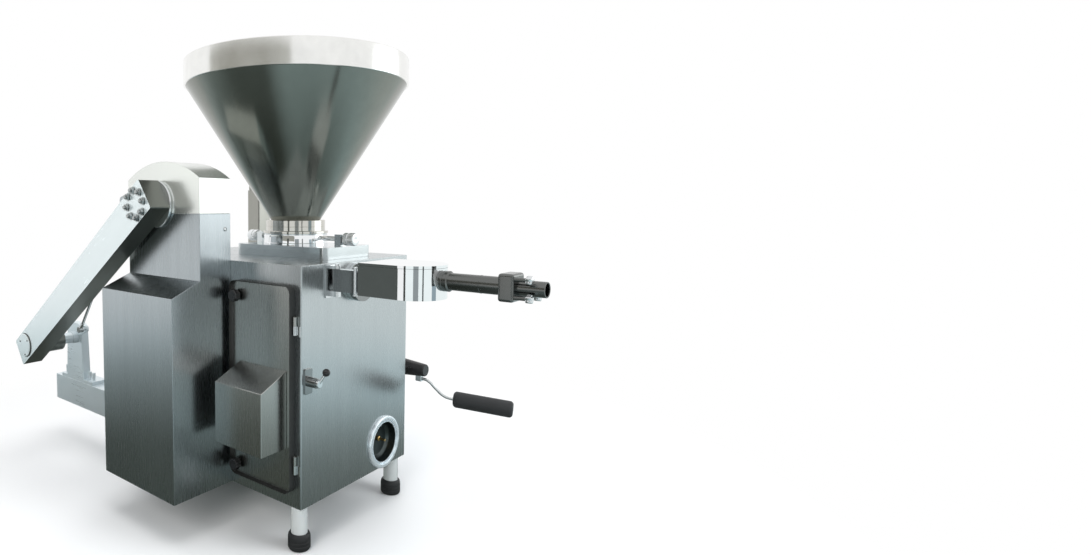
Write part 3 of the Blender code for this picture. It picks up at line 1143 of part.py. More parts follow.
def outlet(swing, spin):
    """Outlet flange, swing-out head with its round nose, filling pipe and the pipe's holder."""
    face = BODY_RIGHT + GAP
    ring = turned([(OUTLET_BORE, 0), (OUTLET_FLANGE_RADIUS, 0), (OUTLET_FLANGE_RADIUS, OUTLET_FLANGE),
                   (OUTLET_BORE, OUTLET_FLANGE)], (face, OUTLET_Y, OUTLET_Z), (1, 0, 0), WIDE_SIDES)
    node("outlet_flange", ring, POLISHED)

    low = HEAD_BOTTOM
    high = ARM_BLOCK_TOP
    plate = block((face, SWING_PLATE_FRONT, SWING_PLATE_BOTTOM),
                  (face + SWING_PLATE, SWING_PLATE_BACK, SWING_PLATE_TOP))
    ears = []
    for start, end in ((SWING_PLATE_BOTTOM + SWING_EAR_INSET, low - GAP),
                       (high + GAP, SWING_PLATE_TOP - SWING_EAR_INSET / 2)):
        outline = frame_outline(face + SWING_PLATE / 3, SWING_Y - SWING_EAR_HALF, SWING_X + SWING_EAR_HALF,
                                SWING_Y + SWING_EAR_HALF, [0, SWING_EAR_HALF * 0.9, SWING_EAR_HALF * 0.9, 0])
        ears.append(slab(outline, "z", start, end))
    pin = rod(SWING_PIN_RADIUS, (SWING_X, SWING_Y, SWING_PLATE_BOTTOM + PAST),
              (SWING_X, SWING_Y, SWING_PLATE_TOP + SWING_PLATE), PIN_SIDES)
    node("swing_bracket", fuse(plate, pin, *ears), BRUSHED)

    near = BODY_RIGHT + OUTLET_FLANGE + GAP * 2
    heel = SWING_X - SWING_EAR_HALF
    reach = SWING_X + SWING_BLOCK_REACH
    corner = SWING_HALF * 0.57
    arm_block = slab(rounded([(heel, SWING_Y - SWING_HALF), (reach, SWING_Y - SWING_HALF),
                              (reach, SWING_Y + SWING_HALF), (heel, SWING_Y + SWING_HALF)],
                              [corner, 0, 0, corner]),
                     "z", low, high)
    elbow_start = near + ELBOW_START
    elbow_front = SWING_Y - SWING_HALF / 2
    elbow = slab([(elbow_start, OUTLET_Y - ELBOW_HALF), (reach - ELBOW_START, elbow_front),
                  (HEAD_LEFT, elbow_front), (HEAD_LEFT - GAP, HEAD_Y + HEAD_RADIUS * 0.8),
                  (elbow_start, OUTLET_Y + ELBOW_HALF)], "z", low + ELBOW_INSET, high - ELBOW_INSET)
    mouth = rod(OUTLET_FLANGE_RADIUS, (near, OUTLET_Y, OUTLET_Z), (near + MOUTH_LENGTH, OUTLET_Y, OUTLET_Z),
                WIDE_SIDES)
    duct = rod(DUCT_RADIUS, (near + DUCT_START, OUTLET_Y, OUTLET_Z), (near + DUCT_END, OUTLET_Y, OUTLET_Z),
               ROUND_SIDES)
    inlet_z = (low + high) / 2
    bore = rod(OUTLET_BORE, (near - PAST, OUTLET_Y, OUTLET_Z), (near + MOUTH_LENGTH, OUTLET_Y, OUTLET_Z),
               ROD_SIDES)
    way = rod(PASSAGE_RADIUS, (near + DUCT_START, OUTLET_Y, OUTLET_Z), (HEAD_LEFT + PAST, HEAD_Y, inlet_z))
    pin_hole = rod(SWING_PIN_RADIUS + RUNNING_CLEARANCE, (SWING_X, SWING_Y, low - PAST),
                   (SWING_X, SWING_Y, high + PAST), PIN_SIDES)
    relief = block((BODY_RIGHT - 2 * PAST, SWING_Y + SWING_HALF + ELBOW_INSET, low - 2 * PAST),
                   (near - GAP, OUTLET_Y + HEAD_RADIUS, high + 2 * PAST))
    arm = fuse(arm_block, elbow, mouth, duct)
    node("outlet_arm", cut(arm, bore, way, pin_hole, relief), DARK_STEEL, swing)

    nose = []
    for step in range(HEAD_STEPS + 1):
        angle = -math.pi / 2 + math.pi * step / HEAD_STEPS
        nose.append((HEAD_X + HEAD_RADIUS * math.cos(angle), HEAD_Y + HEAD_RADIUS * math.sin(angle)))
    left = HEAD_LEFT + GAP
    shoulder = left + HEAD_SHOULDER
    plan = [(left, HEAD_Y - HEAD_RADIUS + HEAD_CORNER), (shoulder, HEAD_Y - HEAD_RADIUS)] + nose
    plan += [(shoulder, HEAD_Y + HEAD_RADIUS), (left, HEAD_Y + HEAD_RADIUS - HEAD_CORNER)]
    head = slab(plan, "z", HEAD_BOTTOM, HEAD_TOP)
    seat_start = HEAD_X + PIPE_SEAT
    cavity_half = HEAD_RADIUS * 0.78
    cavity = block((left + HEAD_WALL, HEAD_Y - cavity_half, HEAD_BOTTOM + HEAD_WALL),
                   (seat_start - HEAD_WALL, HEAD_Y + cavity_half, HEAD_TOP - HEAD_WALL))
    inlet = rod(PASSAGE_RADIUS, (left - PAST, HEAD_Y, inlet_z), (left + 2 * HEAD_WALL, HEAD_Y, inlet_z),
                ROD_SIDES)
    seat = rod(PIPE_COLLAR_RADIUS + RUNNING_CLEARANCE, (seat_start, HEAD_Y, PIPE_Z),
               (HEAD_X + HEAD_RADIUS * 1.5, HEAD_Y, PIPE_Z), ROUND_SIDES)
    throat = rod(PIPE_BORE, (seat_start - 2 * HEAD_WALL, HEAD_Y, PIPE_Z), (seat_start + PAST, HEAD_Y, PIPE_Z),
                 ROD_SIDES)
    node("outlet_head", cut(head, cavity, inlet, seat, throat), POLISHED, swing)

    start = seat_start + GAP
    step = start + PIPE_COLLAR_LENGTH
    tube = turned([(PIPE_BORE, start), (PIPE_COLLAR_RADIUS, start), (PIPE_COLLAR_RADIUS, step),
                   (PIPE_RADIUS, step),
                   (PIPE_RADIUS, PIPE_END), (PIPE_BORE, PIPE_END)], (0, HEAD_Y, PIPE_Z), (1, 0, 0), ROUND_SIDES)
    node("filling_pipe", tube, DARK_STEEL, spin)

    holder = slab(frame_outline(HEAD_Y - PIPE_BLOCK_HALF, PIPE_Z - PIPE_BLOCK_HALF, HEAD_Y + PIPE_BLOCK_HALF,
                                PIPE_Z + PIPE_BLOCK_HALF, PIPE_BLOCK_CORNER), "x", PIPE_END + GAP,
                                PIPE_BLOCK_END)
    nozzle = rod(PIPE_RADIUS * 0.85, (PIPE_BLOCK_END - PAST, HEAD_Y, PIPE_Z), (PIPE_TIP, HEAD_Y, PIPE_Z),
                 ROUND_SIDES)
    knobs = []
    for side, rise in ((-1, 1), (1, -1), (-1, -1)):
        y = HEAD_Y + side * PIPE_STUD_Y
        z = PIPE_Z + rise * PIPE_STUD_Z
        knobs.append(rod(PIPE_STUD_RADIUS, (PIPE_BLOCK_END - PAST, y, z),
                         (PIPE_BLOCK_END + PIPE_STUD_LENGTH, y, z), 8))
        knobs.append(rod(PIPE_KNOB_RADIUS, (PIPE_BLOCK_END + PIPE_KNOB_START, y, z),
                         (PIPE_BLOCK_END + PIPE_KNOB_END, y, z), 8))
    way = rod(PIPE_BORE, (PIPE_END - PAST, HEAD_Y, PIPE_Z), (PIPE_TIP + PAST, HEAD_Y, PIPE_Z), ROUND_SIDES)
    node("pipe_holder", cut(fuse(holder, nozzle, *knobs), way), DARK_STEEL, spin)


def latch(turn):
    """Side latch: plate with a boss, and the lever with a ball grip that turns on it."""
    face = BODY_RIGHT + GAP
    y = (LATCH_FRONT + LATCH_BACK) / 2
    z = (LATCH_BOTTOM + LATCH_TOP) / 2
    plate = slab(frame_outline(LATCH_FRONT, LATCH_BOTTOM, LATCH_BACK, LATCH_TOP, LATCH_PLATE, 2), "x", face,
                 face + LATCH_PLATE)
    boss = rod(LATCH_BOSS_RADIUS, (face, y, z), (BODY_RIGHT + LATCH_BOSS_REACH, y, z))
    node("latch_plate", fuse(plate, boss), BRUSHED)
    start = BODY_RIGHT + LATCH_BOSS_REACH + GAP
    hub = rod(LATCH_BOSS_RADIUS * 0.8, (start, y, z), (start + LATCH_HUB, y, z))
    tip = Vector((start + LATCH_LEAN, y + LATCH_LEVER * 0.25, z + LATCH_LEVER * 0.75))
    stem = rod(LATCH_STEM_RADIUS, (start + LATCH_HUB / 2, y, z), tip, 8)
    bm = bmesh.new()
    bmesh.ops.create_uvsphere(bm, u_segments=12, v_segments=8, radius=LATCH_BALL_RADIUS,
                              matrix=Matrix.Translation(tip))
    node("latch_lever", fuse(hub, stem, raw(bm)), PLASTIC, turn)


def knee_lever(swing):
    """Knee switch at the back: bracket with its shaft, bent rod and padded end."""
    face = BODY_DEPTH + GAP
    plate = block((KNEE_X - KNEE_PLATE_REACH[0], face, KNEE_Z - KNEE_PLATE_HALF),
                  (KNEE_X + KNEE_PLATE_REACH[1], face + KNEE_PLATE, KNEE_Z + KNEE_PLATE_HALF))
    tongue = block((KNEE_X - KNEE_TONGUE_REACH[0], face + KNEE_PLATE / 3, KNEE_Z - KNEE_TONGUE_HALF),
                   (KNEE_X - KNEE_TONGUE_REACH[1], KNEE_Y + KNEE_TONGUE_HALF, KNEE_Z + KNEE_TONGUE_HALF))
    shaft_start = KNEE_X - sum(KNEE_TONGUE_REACH) / 2
    bore_end = KNEE_CAP_END - KNEE_CAP_WALL
    shaft = rod(KNEE_SHAFT_RADIUS, (shaft_start, KNEE_Y, KNEE_Z), (bore_end - KNEE_END_PLAY, KNEE_Y, KNEE_Z),
                PIN_SIDES)
    node("knee_bracket", fuse(plate, tongue, shaft), BRUSHED)
    cap_length = KNEE_CAP_END - KNEE_X
    cap = turned([(0, 0), (KNEE_CAP_RADIUS, 0), (KNEE_CAP_TIP_RADIUS, cap_length), (0, cap_length)],
                 (KNEE_X, KNEE_Y, KNEE_Z), (1, 0, 0))
    bore = rod(KNEE_SHAFT_RADIUS + RUNNING_CLEARANCE, (KNEE_X - PAST, KNEE_Y, KNEE_Z),
               (bore_end, KNEE_Y, KNEE_Z),
               PIN_SIDES)
    start = Vector(KNEE_PAD_START)
    end = Vector(KNEE_PAD_END)
    line = (end - start).normalized()
    clamp = block((KNEE_CLAMP_LEFT, KNEE_Y - KNEE_CLAMP_HALF, KNEE_Z - KNEE_CLAMP_BOTTOM),
                  (KNEE_CLAMP_LEFT + KNEE_CLAMP_LENGTH, KNEE_Y + KNEE_CLAMP_HALF, KNEE_Z - KNEE_CLAMP_TOP))
    bend = Vector((KNEE_CLAMP_LEFT + 2 * KNEE_CLAMP_LENGTH, KNEE_Y, KNEE_Z - KNEE_ROD_DROP - KNEE_OVERLAP))
    inlet = start - line * KNEE_INLET
    bars = [rod(KNEE_ROD_RADIUS, (KNEE_CLAMP_LEFT + PAST, KNEE_Y, KNEE_Z - KNEE_ROD_DROP), bend, PIN_SIDES),
            rod(KNEE_ROD_RADIUS, bend, inlet, PIN_SIDES),
            rod(KNEE_ROD_RADIUS, inlet - line * KNEE_OVERLAP, start + line * KNEE_ROD_INSERT, PIN_SIDES)]
    node("knee_lever", fuse(cut(cap, bore), clamp, *bars), PLASTIC, swing)
    reach = (end - start).length
    brow = KNEE_PAD_RADIUS - KNEE_PAD_FALL
    grip = turned([(0, 0), (brow, 0), (KNEE_PAD_RADIUS, KNEE_PAD_EDGE),
                   (KNEE_PAD_RADIUS, reach - KNEE_PAD_EDGE),
                   (brow, reach), (0, reach)], start, line)
    socket = rod(KNEE_ROD_RADIUS + RUNNING_CLEARANCE, start - line * PAST,
                 start + line * (KNEE_ROD_INSERT + GAP),
                 PIN_SIDES)
    node("knee_pad", cut(grip, socket), RUBBER, swing)


def controls():
    """Control box on a hollow post at the rear left, its screen facing the operator."""
    left, right, front, back = CONTROL_LEFT, CONTROL_RIGHT, CONTROL_FRONT, CONTROL_BACK
    sheet = BODY_SHEET
    glass_back = back - SCREEN_THICKNESS
    sill = CONTROL_BOTTOM + SCREEN_SILL
    brow = CONTROL_TOP - SCREEN_BEZEL
    case = slab(frame_outline(front, CONTROL_BOTTOM, back, CONTROL_TOP, CONTROL_CORNER, 3), "x", left, right)
    recess = slab(frame_outline(left + SCREEN_BEZEL, sill, right - SCREEN_BEZEL, brow, SCREEN_CORNER, 2), "y",
                  glass_back, back + PAST)
    hollow = block((left + sheet, front + sheet, CONTROL_BOTTOM + sheet),
                   (right - sheet, glass_back - sheet, CONTROL_TOP - sheet))
    post_right = POST_LEFT + POST_WIDTH
    post_back = BODY_DEPTH - POST_INSET
    post_front = post_back - POST_WIDTH
    post = slab(frame_outline(POST_LEFT, post_front, post_right, post_back, POST_CORNER, 2), "z",
                BODY_TOP + GAP,
                CONTROL_BOTTOM + sheet / 2)
    duct = slab(frame_outline(POST_LEFT + POST_SHEET, post_front + POST_SHEET, post_right - POST_SHEET,
                              post_back - POST_SHEET, POST_CORNER - POST_SHEET * 0.75, 2), "z", BODY_TOP - PAST,
                CONTROL_BOTTOM + sheet * 2)
    bridge = slab(frame_outline(POST_LEFT, post_front, post_right, back - BRIDGE_INSET, POST_CORNER, 2), "z",
                  CONTROL_BOTTOM - BRIDGE_DROP, CONTROL_BOTTOM + sheet / 2)
    drain = rod(POST_DRAIN_RADIUS, (POST_LEFT + POST_WIDTH / 2, post_front - PAST,
                                    BODY_TOP + POST_DRAIN_HEIGHT),
                (POST_LEFT + POST_WIDTH / 2, post_front + PAST, BODY_TOP + POST_DRAIN_HEIGHT), PIN_SIDES)
    shell = cut(case, recess, hollow)
    node("control_box", cut(fuse(shell, post, bridge), duct, drain), BRUSHED)
    glass = slab(frame_outline(left + SCREEN_BEZEL + GAP, sill + GAP, right - SCREEN_BEZEL - GAP, brow - GAP,
                               SCREEN_CORNER, 2), "y", glass_back + GAP, back - SCREEN_SINK)
    node("control_screen", glass, GLASS)


def cord_points():
    """Centre line of the lead, from the gland down to the floor and in under the body to its coil."""
    coil_front = COIL_Y - COIL_RADIUS - COIL_HALF_WIDTH - CORD_RADIUS - GAP
    x, z = GLAND_X, GLAND_Z
    ground = CORD_RADIUS
    knots = [(x, -CORD_START, z), (x, -0.045, z), (x - 0.006, -0.064, z - 0.022),
             (x - 0.018, -0.070, z - 0.070),
             (x - 0.040, -0.060, z * 0.55), (x - 0.062, -0.040, z * 0.275), (x - 0.066, 0.000, 0.026),
             (x - 0.052, 0.060, ground), (x - 0.020, 0.140, ground), (x + 0.020, 0.200, ground),
             (COIL_X - 0.060, coil_front - 0.014, ground), (COIL_X, coil_front, ground)]
    points = [Vector(knots[0])]
    for index in range(1, len(knots) - 1):
        before = Vector(knots[index - 1])
        start = Vector(knots[index])
        end = Vector(knots[index + 1])
        after = Vector(knots[min(index + 2, len(knots) - 1)])
        for step in range(4):
            t = step / 4
            slope = end - before
            bend = 2 * before - 5 * start + 4 * end - after
            twist = 3 * start - before - 3 * end + after
            points.append(0.5 * (2 * start + slope * t + bend * t ** 2 + twist * t ** 3))
    points.append(Vector(knots[-1]))
    for point in points:
        point.z = max(point.z, CORD_RADIUS + GAP)
    return points


def mains_lead():
    """Cable gland, free lead, its coil on the floor and the round mains plug."""
    gland = turned([(0, GAP), (GLAND_RADIUS, GAP), (GLAND_RADIUS, GLAND_PLATE),
                    (GLAND_NUT_RADIUS, GLAND_PLATE * 1.1), (GLAND_NUT_RADIUS, GLAND_NUT),
                    (GLAND_NOSE_RADIUS, GLAND_LENGTH), (0, GLAND_LENGTH)], (GLAND_X, 0, GLAND_Z), (0, -1, 0),
                    ROD_SIDES)
    node("cord_gland", gland, PLASTIC)

    curve = bpy.data.curves.new("cord", "CURVE")
    curve.dimensions = "3D"
    curve.bevel_depth = CORD_RADIUS
    curve.bevel_resolution = 2
    curve.use_fill_caps = True
    spline = curve.splines.new("POLY")
    points = cord_points()
    spline.points.add(len(points) - 1)
    for spot, point in zip(spline.points, points):
        spot.co = (*point, 1)
    cord = bpy.data.objects.new("cord", curve)
    bpy.context.collection.objects.link(cord)
    curve.materials.append(material("cord", *RUBBER[1:]))
    cord.parent = machine

    inner = COIL_RADIUS - COIL_HALF_WIDTH
    outer = COIL_RADIUS + COIL_HALF_WIDTH
    coil = turned([(inner, GAP), (outer, GAP), (outer, COIL_HEIGHT), (inner, COIL_HEIGHT)], (COIL_X, COIL_Y, 0),
                  (0, 0, 1), WIDE_SIDES)
    node("cord_coil", coil, RUBBER)

    start = (COIL_X + outer + GAP * 2, COIL_Y, PLUG_RADIUS + GAP)
    plug = turned([(0, 0), (PLUG_SLEEVE_RADIUS, 0), (PLUG_SLEEVE_RADIUS * 1.2, PLUG_SLEEVE),
                   (PLUG_RADIUS, PLUG_SHOULDER), (PLUG_RADIUS, PLUG_LENGTH - PLUG_EDGE),
                   (PLUG_RADIUS * 0.9, PLUG_LENGTH), (0, PLUG_LENGTH)], start, (1, 0, 0), ROD_SIDES)
    pins = []
    for index in range(4):
        turn = math.pi / 2 * (index + 0.5)
        y = start[1] + PLUG_PIN_CIRCLE * math.cos(turn)
        z = start[2] + PLUG_PIN_CIRCLE * math.sin(turn)
        pins.append(rod(PLUG_PIN_RADIUS, (start[0] + PLUG_LENGTH - PLUG_EDGE / 2, y, z),
                        (start[0] + PLUG_LENGTH + PLUG_PIN_LENGTH, y, z), 8))
    node("cord_plug", fuse(plug, *pins), PLASTIC)


arm_swing = empty("arm_swing", (ARM_PIVOT_X, 0, ARM_PIVOT_Z))
fork_tilt = empty("fork_tilt", (FORK_PIVOT_X, 0, FORK_PIVOT_Z))
lock_slide = empty("lock_slide", (LOCK_STEM_LEFT, FORK_BACK - FORK_BAR, (FORK_BOTTOM + FORK_TOP) / 2))
strut_swing = empty("strut_swing", (STRUT_TOP_X, STRUT_PLANE, STRUT_TOP_Z))
strut_extend = empty("strut_extend", (STRUT_LOW_X, STRUT_PLANE, STRUT_LOW_Z))
door_swing = empty("door_swing", (HINGE_X, HINGE_Y, 0))
knob_turn = {name: empty(f"knob_turn_{name}", (KNOB_X, 0, height)) for name, height in KNOB_HEIGHTS.items()}
pump_spin = empty("pump_spin", (HOPPER_X, HOPPER_Y, 0))
clamp_turn = {name: empty(f"clamp_turn_{name}", (HOPPER_X, HOPPER_Y, CLAMP_Z)) for name in ("left", "right")}
outlet_swing = empty("outlet_swing", (SWING_X, SWING_Y, 0))
pipe_spin = empty("pipe_spin", (0, HEAD_Y, PIPE_Z))
latch_turn = empty("latch_turn", (0, (LATCH_FRONT + LATCH_BACK) / 2, (LATCH_BOTTOM + LATCH_TOP) / 2))
knee_swing = empty("knee_swing", (KNEE_X, KNEE_Y, KNEE_Z))

cabinet()
legs()
column()
lift_drive()
lift_arm(arm_swing)
fork(fork_tilt)
trolley_lock(fork_tilt, lock_slide)
strut(strut_swing, strut_extend)
door(door_swing)
door_knobs(knob_turn)
side_panel()
port()
pump(pump_spin)
pump_drive()
vacuum_pump()
hopper()
clamp_screws(clamp_turn)
outlet(outlet_swing, pipe_spin)
latch(latch_turn)
knee_lever(knee_swing)
controls()
mains_lead()
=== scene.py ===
"""Looks of the vacuum filling machine: sheet steel, polished castings, rubber and the mains lead."""
import math

import bpy
from mathutils import Matrix, Vector


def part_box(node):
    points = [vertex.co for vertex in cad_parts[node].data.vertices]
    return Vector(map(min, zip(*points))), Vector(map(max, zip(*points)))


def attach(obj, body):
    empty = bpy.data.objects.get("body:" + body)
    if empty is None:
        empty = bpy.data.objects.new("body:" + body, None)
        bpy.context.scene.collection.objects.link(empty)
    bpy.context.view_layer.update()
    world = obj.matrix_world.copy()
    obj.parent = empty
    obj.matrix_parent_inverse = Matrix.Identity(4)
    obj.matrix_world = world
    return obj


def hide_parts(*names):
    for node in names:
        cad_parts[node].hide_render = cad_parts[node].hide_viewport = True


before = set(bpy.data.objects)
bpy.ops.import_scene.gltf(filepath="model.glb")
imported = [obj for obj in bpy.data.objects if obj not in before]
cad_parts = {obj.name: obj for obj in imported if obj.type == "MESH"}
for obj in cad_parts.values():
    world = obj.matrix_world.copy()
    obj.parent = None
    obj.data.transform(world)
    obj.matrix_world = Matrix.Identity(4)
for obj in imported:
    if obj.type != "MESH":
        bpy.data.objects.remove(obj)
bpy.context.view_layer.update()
cabinet_low, cabinet_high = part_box("base_housing")

# Studio
# A pale floor under an even white surround. Grey cards that only reflections see stand round it, because
# ground steel shows nothing but what stands about it.
CAMERA_FROM_CABINET = Vector((2.038, -1.761, 1.367))
CAMERA_YAW = math.radians(42.52)
CAMERA_PITCH = math.radians(4.23)
CAMERA_LENS = 20.54
CAMERA_SHIFT = (0.2375, -0.0236)

cabinet_front = Vector(((cabinet_low.x + cabinet_high.x) / 2, cabinet_low.y, 0))
bpy.ops.object.camera_add(location=cabinet_front + CAMERA_FROM_CABINET,
                          rotation=(math.pi / 2 - CAMERA_PITCH, 0, CAMERA_YAW))
camera = bpy.context.object
camera.name = "camera"
camera.data.lens = CAMERA_LENS
camera.data.shift_x, camera.data.shift_y = CAMERA_SHIFT
bpy.context.scene.camera = camera
bpy.context.scene.view_settings.view_transform = "Standard"


def link(tree, source, target):
    """Joins an output socket to an input socket."""
    tree.links.new(source, target)


def white_for_eye(tree, shader, white):
    """A mix that shows white to the camera, to gloss and through glass, and the shader to all other light."""
    path = tree.nodes.new("ShaderNodeLightPath")
    either = tree.nodes.new("ShaderNodeMath")
    either.operation = "MAXIMUM"
    link(tree, path.outputs["Is Camera Ray"], either.inputs[0])
    link(tree, path.outputs["Is Glossy Ray"], either.inputs[1])
    third = tree.nodes.new("ShaderNodeMath")
    third.operation = "MAXIMUM"
    link(tree, either.outputs[0], third.inputs[0])
    link(tree, path.outputs["Is Transmission Ray"], third.inputs[1])
    mix = tree.nodes.new("ShaderNodeMixShader")
    link(tree, third.outputs[0], mix.inputs[0])
    link(tree, shader, mix.inputs[1])
    link(tree, white, mix.inputs[2])
    return mix.outputs[0]


world = bpy.data.worlds.new("studio")
bpy.context.scene.world = world
world.use_nodes = True
world.node_tree.nodes.clear()
room = world.node_tree.nodes.new("ShaderNodeBackground")
room.inputs["Color"].default_value = (0.90, 0.95, 1.0, 1)
room.inputs["Strength"].default_value = 0.55
paper = world.node_tree.nodes.new("ShaderNodeBackground")
paper.inputs["Color"].default_value = (1, 1, 1, 1)
surround = world.node_tree.nodes.new("ShaderNodeOutputWorld")
link(world.node_tree, white_for_eye(world.node_tree, room.outputs[0], paper.outputs[0]), surround.inputs[0])


def distance_from(tree, x, y, near, far):
    """Zero near a point on the floor and one far from it."""
    place = tree.nodes.new("ShaderNodeTexCoord")
    reach = tree.nodes.new("ShaderNodeVectorMath")
    reach.operation = "DISTANCE"
    reach.inputs[1].default_value = (x, y, 0)
    link(tree, place.outputs["Object"], reach.inputs[0])
    share = tree.nodes.new("ShaderNodeMapRange")
    share.inputs["From Min"].default_value = near
    share.inputs["From Max"].default_value = far
    link(tree, reach.outputs["Value"], share.inputs["Value"])
    return share.outputs["Result"]


FLOOR_SIZE = 60
FADE_PLACE = (-0.1, 0)
FADE_START = 0.9
FADE_END = 2.6
bpy.ops.mesh.primitive_plane_add(size=FLOOR_SIZE, location=(0, 0, 0))
floor = bpy.context.object
floor.name = "floor"
floor.visible_glossy = False
pale = bpy.data.materials.new("pale floor")
pale.use_nodes = True
floor_tree = pale.node_tree
floor_shader = floor_tree.nodes["Principled BSDF"]
floor_shader.inputs["Base Color"].default_value = (0.86, 0.86, 0.86, 1)
floor_shader.inputs["Roughness"].default_value = 0.9
floor_shader.inputs["Specular IOR Level"].default_value = 0.1
paper_glow = floor_tree.nodes.new("ShaderNodeEmission")
eye_path = floor_tree.nodes.new("ShaderNodeLightPath")
far_share = floor_tree.nodes.new("ShaderNodeMath")
far_share.operation = "MULTIPLY"
link(floor_tree, distance_from(floor_tree, *FADE_PLACE, FADE_START, FADE_END), far_share.inputs[0])
link(floor_tree, eye_path.outputs["Is Camera Ray"], far_share.inputs[1])
fade = floor_tree.nodes.new("ShaderNodeMixShader")
link(floor_tree, far_share.outputs[0], fade.inputs[0])
link(floor_tree, floor_shader.outputs[0], fade.inputs[1])
link(floor_tree, paper_glow.outputs[0], fade.inputs[2])
link(floor_tree, fade.outputs[0], floor_tree.nodes["Material Output"].inputs[0])
floor.data.materials.append(pale)


def lamp(name, place, target, size, power, colour):
    """A soft square lamp that faces a point and that no reflection shows."""
    bpy.ops.object.light_add(type="AREA", location=place)
    light = bpy.context.object
    light.name = name
    light.data.size = size
    light.data.energy = power
    light.data.color = colour
    light.visible_glossy = False
    light.rotation_euler = (Vector(target) - Vector(place)).to_track_quat("-Z", "Y").to_euler()


lamp("overhead", (0.3, -0.3, 4.6), (0, 0, 1), 3.2, 150, (1, 1, 1))
lamp("from the door side", (1.2, -4.2, 2.6), (0, 0, 0.9), 2.4, 90, (1, 0.98, 0.95))
lamp("from the outlet side", (4.4, 1.2, 2.4), (0.4, 0, 0.8), 2.6, 80, (0.90, 0.96, 1))
lamp("from the operator side", (-1.5, 4.4, 2.6), (0, 0, 1), 2.6, 80, (1, 1, 1))


def seen_in_gloss(board, tree, colour):
    """Makes a board glow with a colour, for reflections only."""
    board.visible_camera = False
    board.visible_diffuse = False
    board.visible_shadow = False
    board.visible_transmission = False
    tree.nodes.clear()
    glow = tree.nodes.new("ShaderNodeEmission")
    end = tree.nodes.new("ShaderNodeOutputMaterial")
    link(tree, glow.outputs[0], end.inputs[0])
    if isinstance(colour, tuple):
        glow.inputs["Color"].default_value = (*colour, 1)
    return glow


def card(name, middle, width, low, high, colour):
    """An upright board at a place on the floor that faces the machine."""
    place = Vector((*middle, (low + high) / 2))
    bpy.ops.mesh.primitive_plane_add(size=1, location=place)
    board = bpy.context.object
    board.name = name
    board.scale = (width, high - low, 1)
    board.rotation_euler = Vector((-middle[0], -middle[1], 0)).to_track_quat("Z", "Y").to_euler()
    paint = bpy.data.materials.new(name)
    paint.use_nodes = True
    board.data.materials.append(paint)
    seen_in_gloss(board, paint.node_tree, colour)


card("beige wall", (-0.6, -7.0), 13.0, 1.75, 5.2, (0.33, 0.325, 0.29))
card("window left", (-4.4, -4.9), 1.6, 1.58, 2.3, (1.30, 1.33, 1.30))
card("window right", (5.0, 5.4), 5.0, 0.85, 4.0, (2.1, 2.15, 2.15))
card("dark hall left", (-0.8, -2.75), 1.1, 0.2, 1.9, (0.085, 0.095, 0.09))
card("dark hall ahead", (1.0, -3.2), 0.35, 0.2, 2.0, (0.06, 0.065, 0.06))
card("grey hall", (2.75, -2.56), 0.9, 0.2, 2.0, (0.30, 0.33, 0.34))
card("dark post", (3.5, -1.6), 0.22, 0.2, 2.0, (0.05, 0.06, 0.06))
card("blue hall right", (3.9, 0.4), 0.9, 0.2, 1.8, (0.30, 0.38, 0.42))


def ramp(tree, share, stops):
    """Colours along a share from zero to one."""
    colours = tree.nodes.new("ShaderNodeValToRGB")
    band = colours.color_ramp
    band.elements[0].position = stops[0][0]
    band.elements[0].color = (*stops[0][1], 1)
    band.elements[1].position = stops[-1][0]
    band.elements[1].color = (*stops[-1][1], 1)
    for position, colour in stops[1:-1]:
        band.elements.new(position).color = (*colour, 1)
    link(tree, share, colours.inputs[0])
    return colours.outputs["Color"]


FLOOR_CARD_LIFT = 0.003
FLOOR_CARD_REACH = 8
DOOR_SIDE_END = 0.45
OUTLET_SIDE_START = 1.10
bpy.ops.mesh.primitive_plane_add(size=FLOOR_SIZE, location=(0, 0, FLOOR_CARD_LIFT))
floor_card = bpy.context.object
floor_card.name = "floor in reflections"
floor_look = bpy.data.materials.new("floor in reflections")
floor_look.use_nodes = True
floor_card.data.materials.append(floor_look)
look_tree = floor_look.node_tree
floor_glow = seen_in_gloss(floor_card, look_tree, None)
# Painted shade in reflections: this floor is dark near the machine, for a dark floor with the machine's
# shadow on it, and turns white far away.
door_side_shaded_floor = ramp(look_tree, distance_from(look_tree, -0.4, -0.7, 0, FLOOR_CARD_REACH),
                 ((0.12, (0.085, 0.098, 0.085)), (0.22, (0.21, 0.24, 0.23)), (0.34, (0.36, 0.42, 0.42)),
                  (0.50, (0.70, 0.78, 0.80)), (0.75, (1, 1, 1))))
outlet_side_shaded_floor = ramp(look_tree, distance_from(look_tree, 0.5, 0.1, 0, FLOOR_CARD_REACH),
                   ((0.04, (0.15, 0.18, 0.17)), (0.10, (0.22, 0.26, 0.25)), (0.26, (0.68, 0.84, 0.88)),
                    (0.50, (0.94, 1, 1))))
spot = look_tree.nodes.new("ShaderNodeTexCoord")
lengths = look_tree.nodes.new("ShaderNodeSeparateXYZ")
link(look_tree, spot.outputs["Object"], lengths.inputs[0])
across = look_tree.nodes.new("ShaderNodeMapRange")
across.inputs["From Min"].default_value = DOOR_SIDE_END
across.inputs["From Max"].default_value = OUTLET_SIDE_START
link(look_tree, lengths.outputs["X"], across.inputs["Value"])
halves = look_tree.nodes.new("ShaderNodeMix")
halves.data_type = "RGBA"
link(look_tree, across.outputs["Result"], halves.inputs["Factor"])
link(look_tree, door_side_shaded_floor, halves.inputs["A"])
link(look_tree, outlet_side_shaded_floor, halves.inputs["B"])
link(look_tree, halves.outputs["Result"], floor_glow.inputs["Color"])

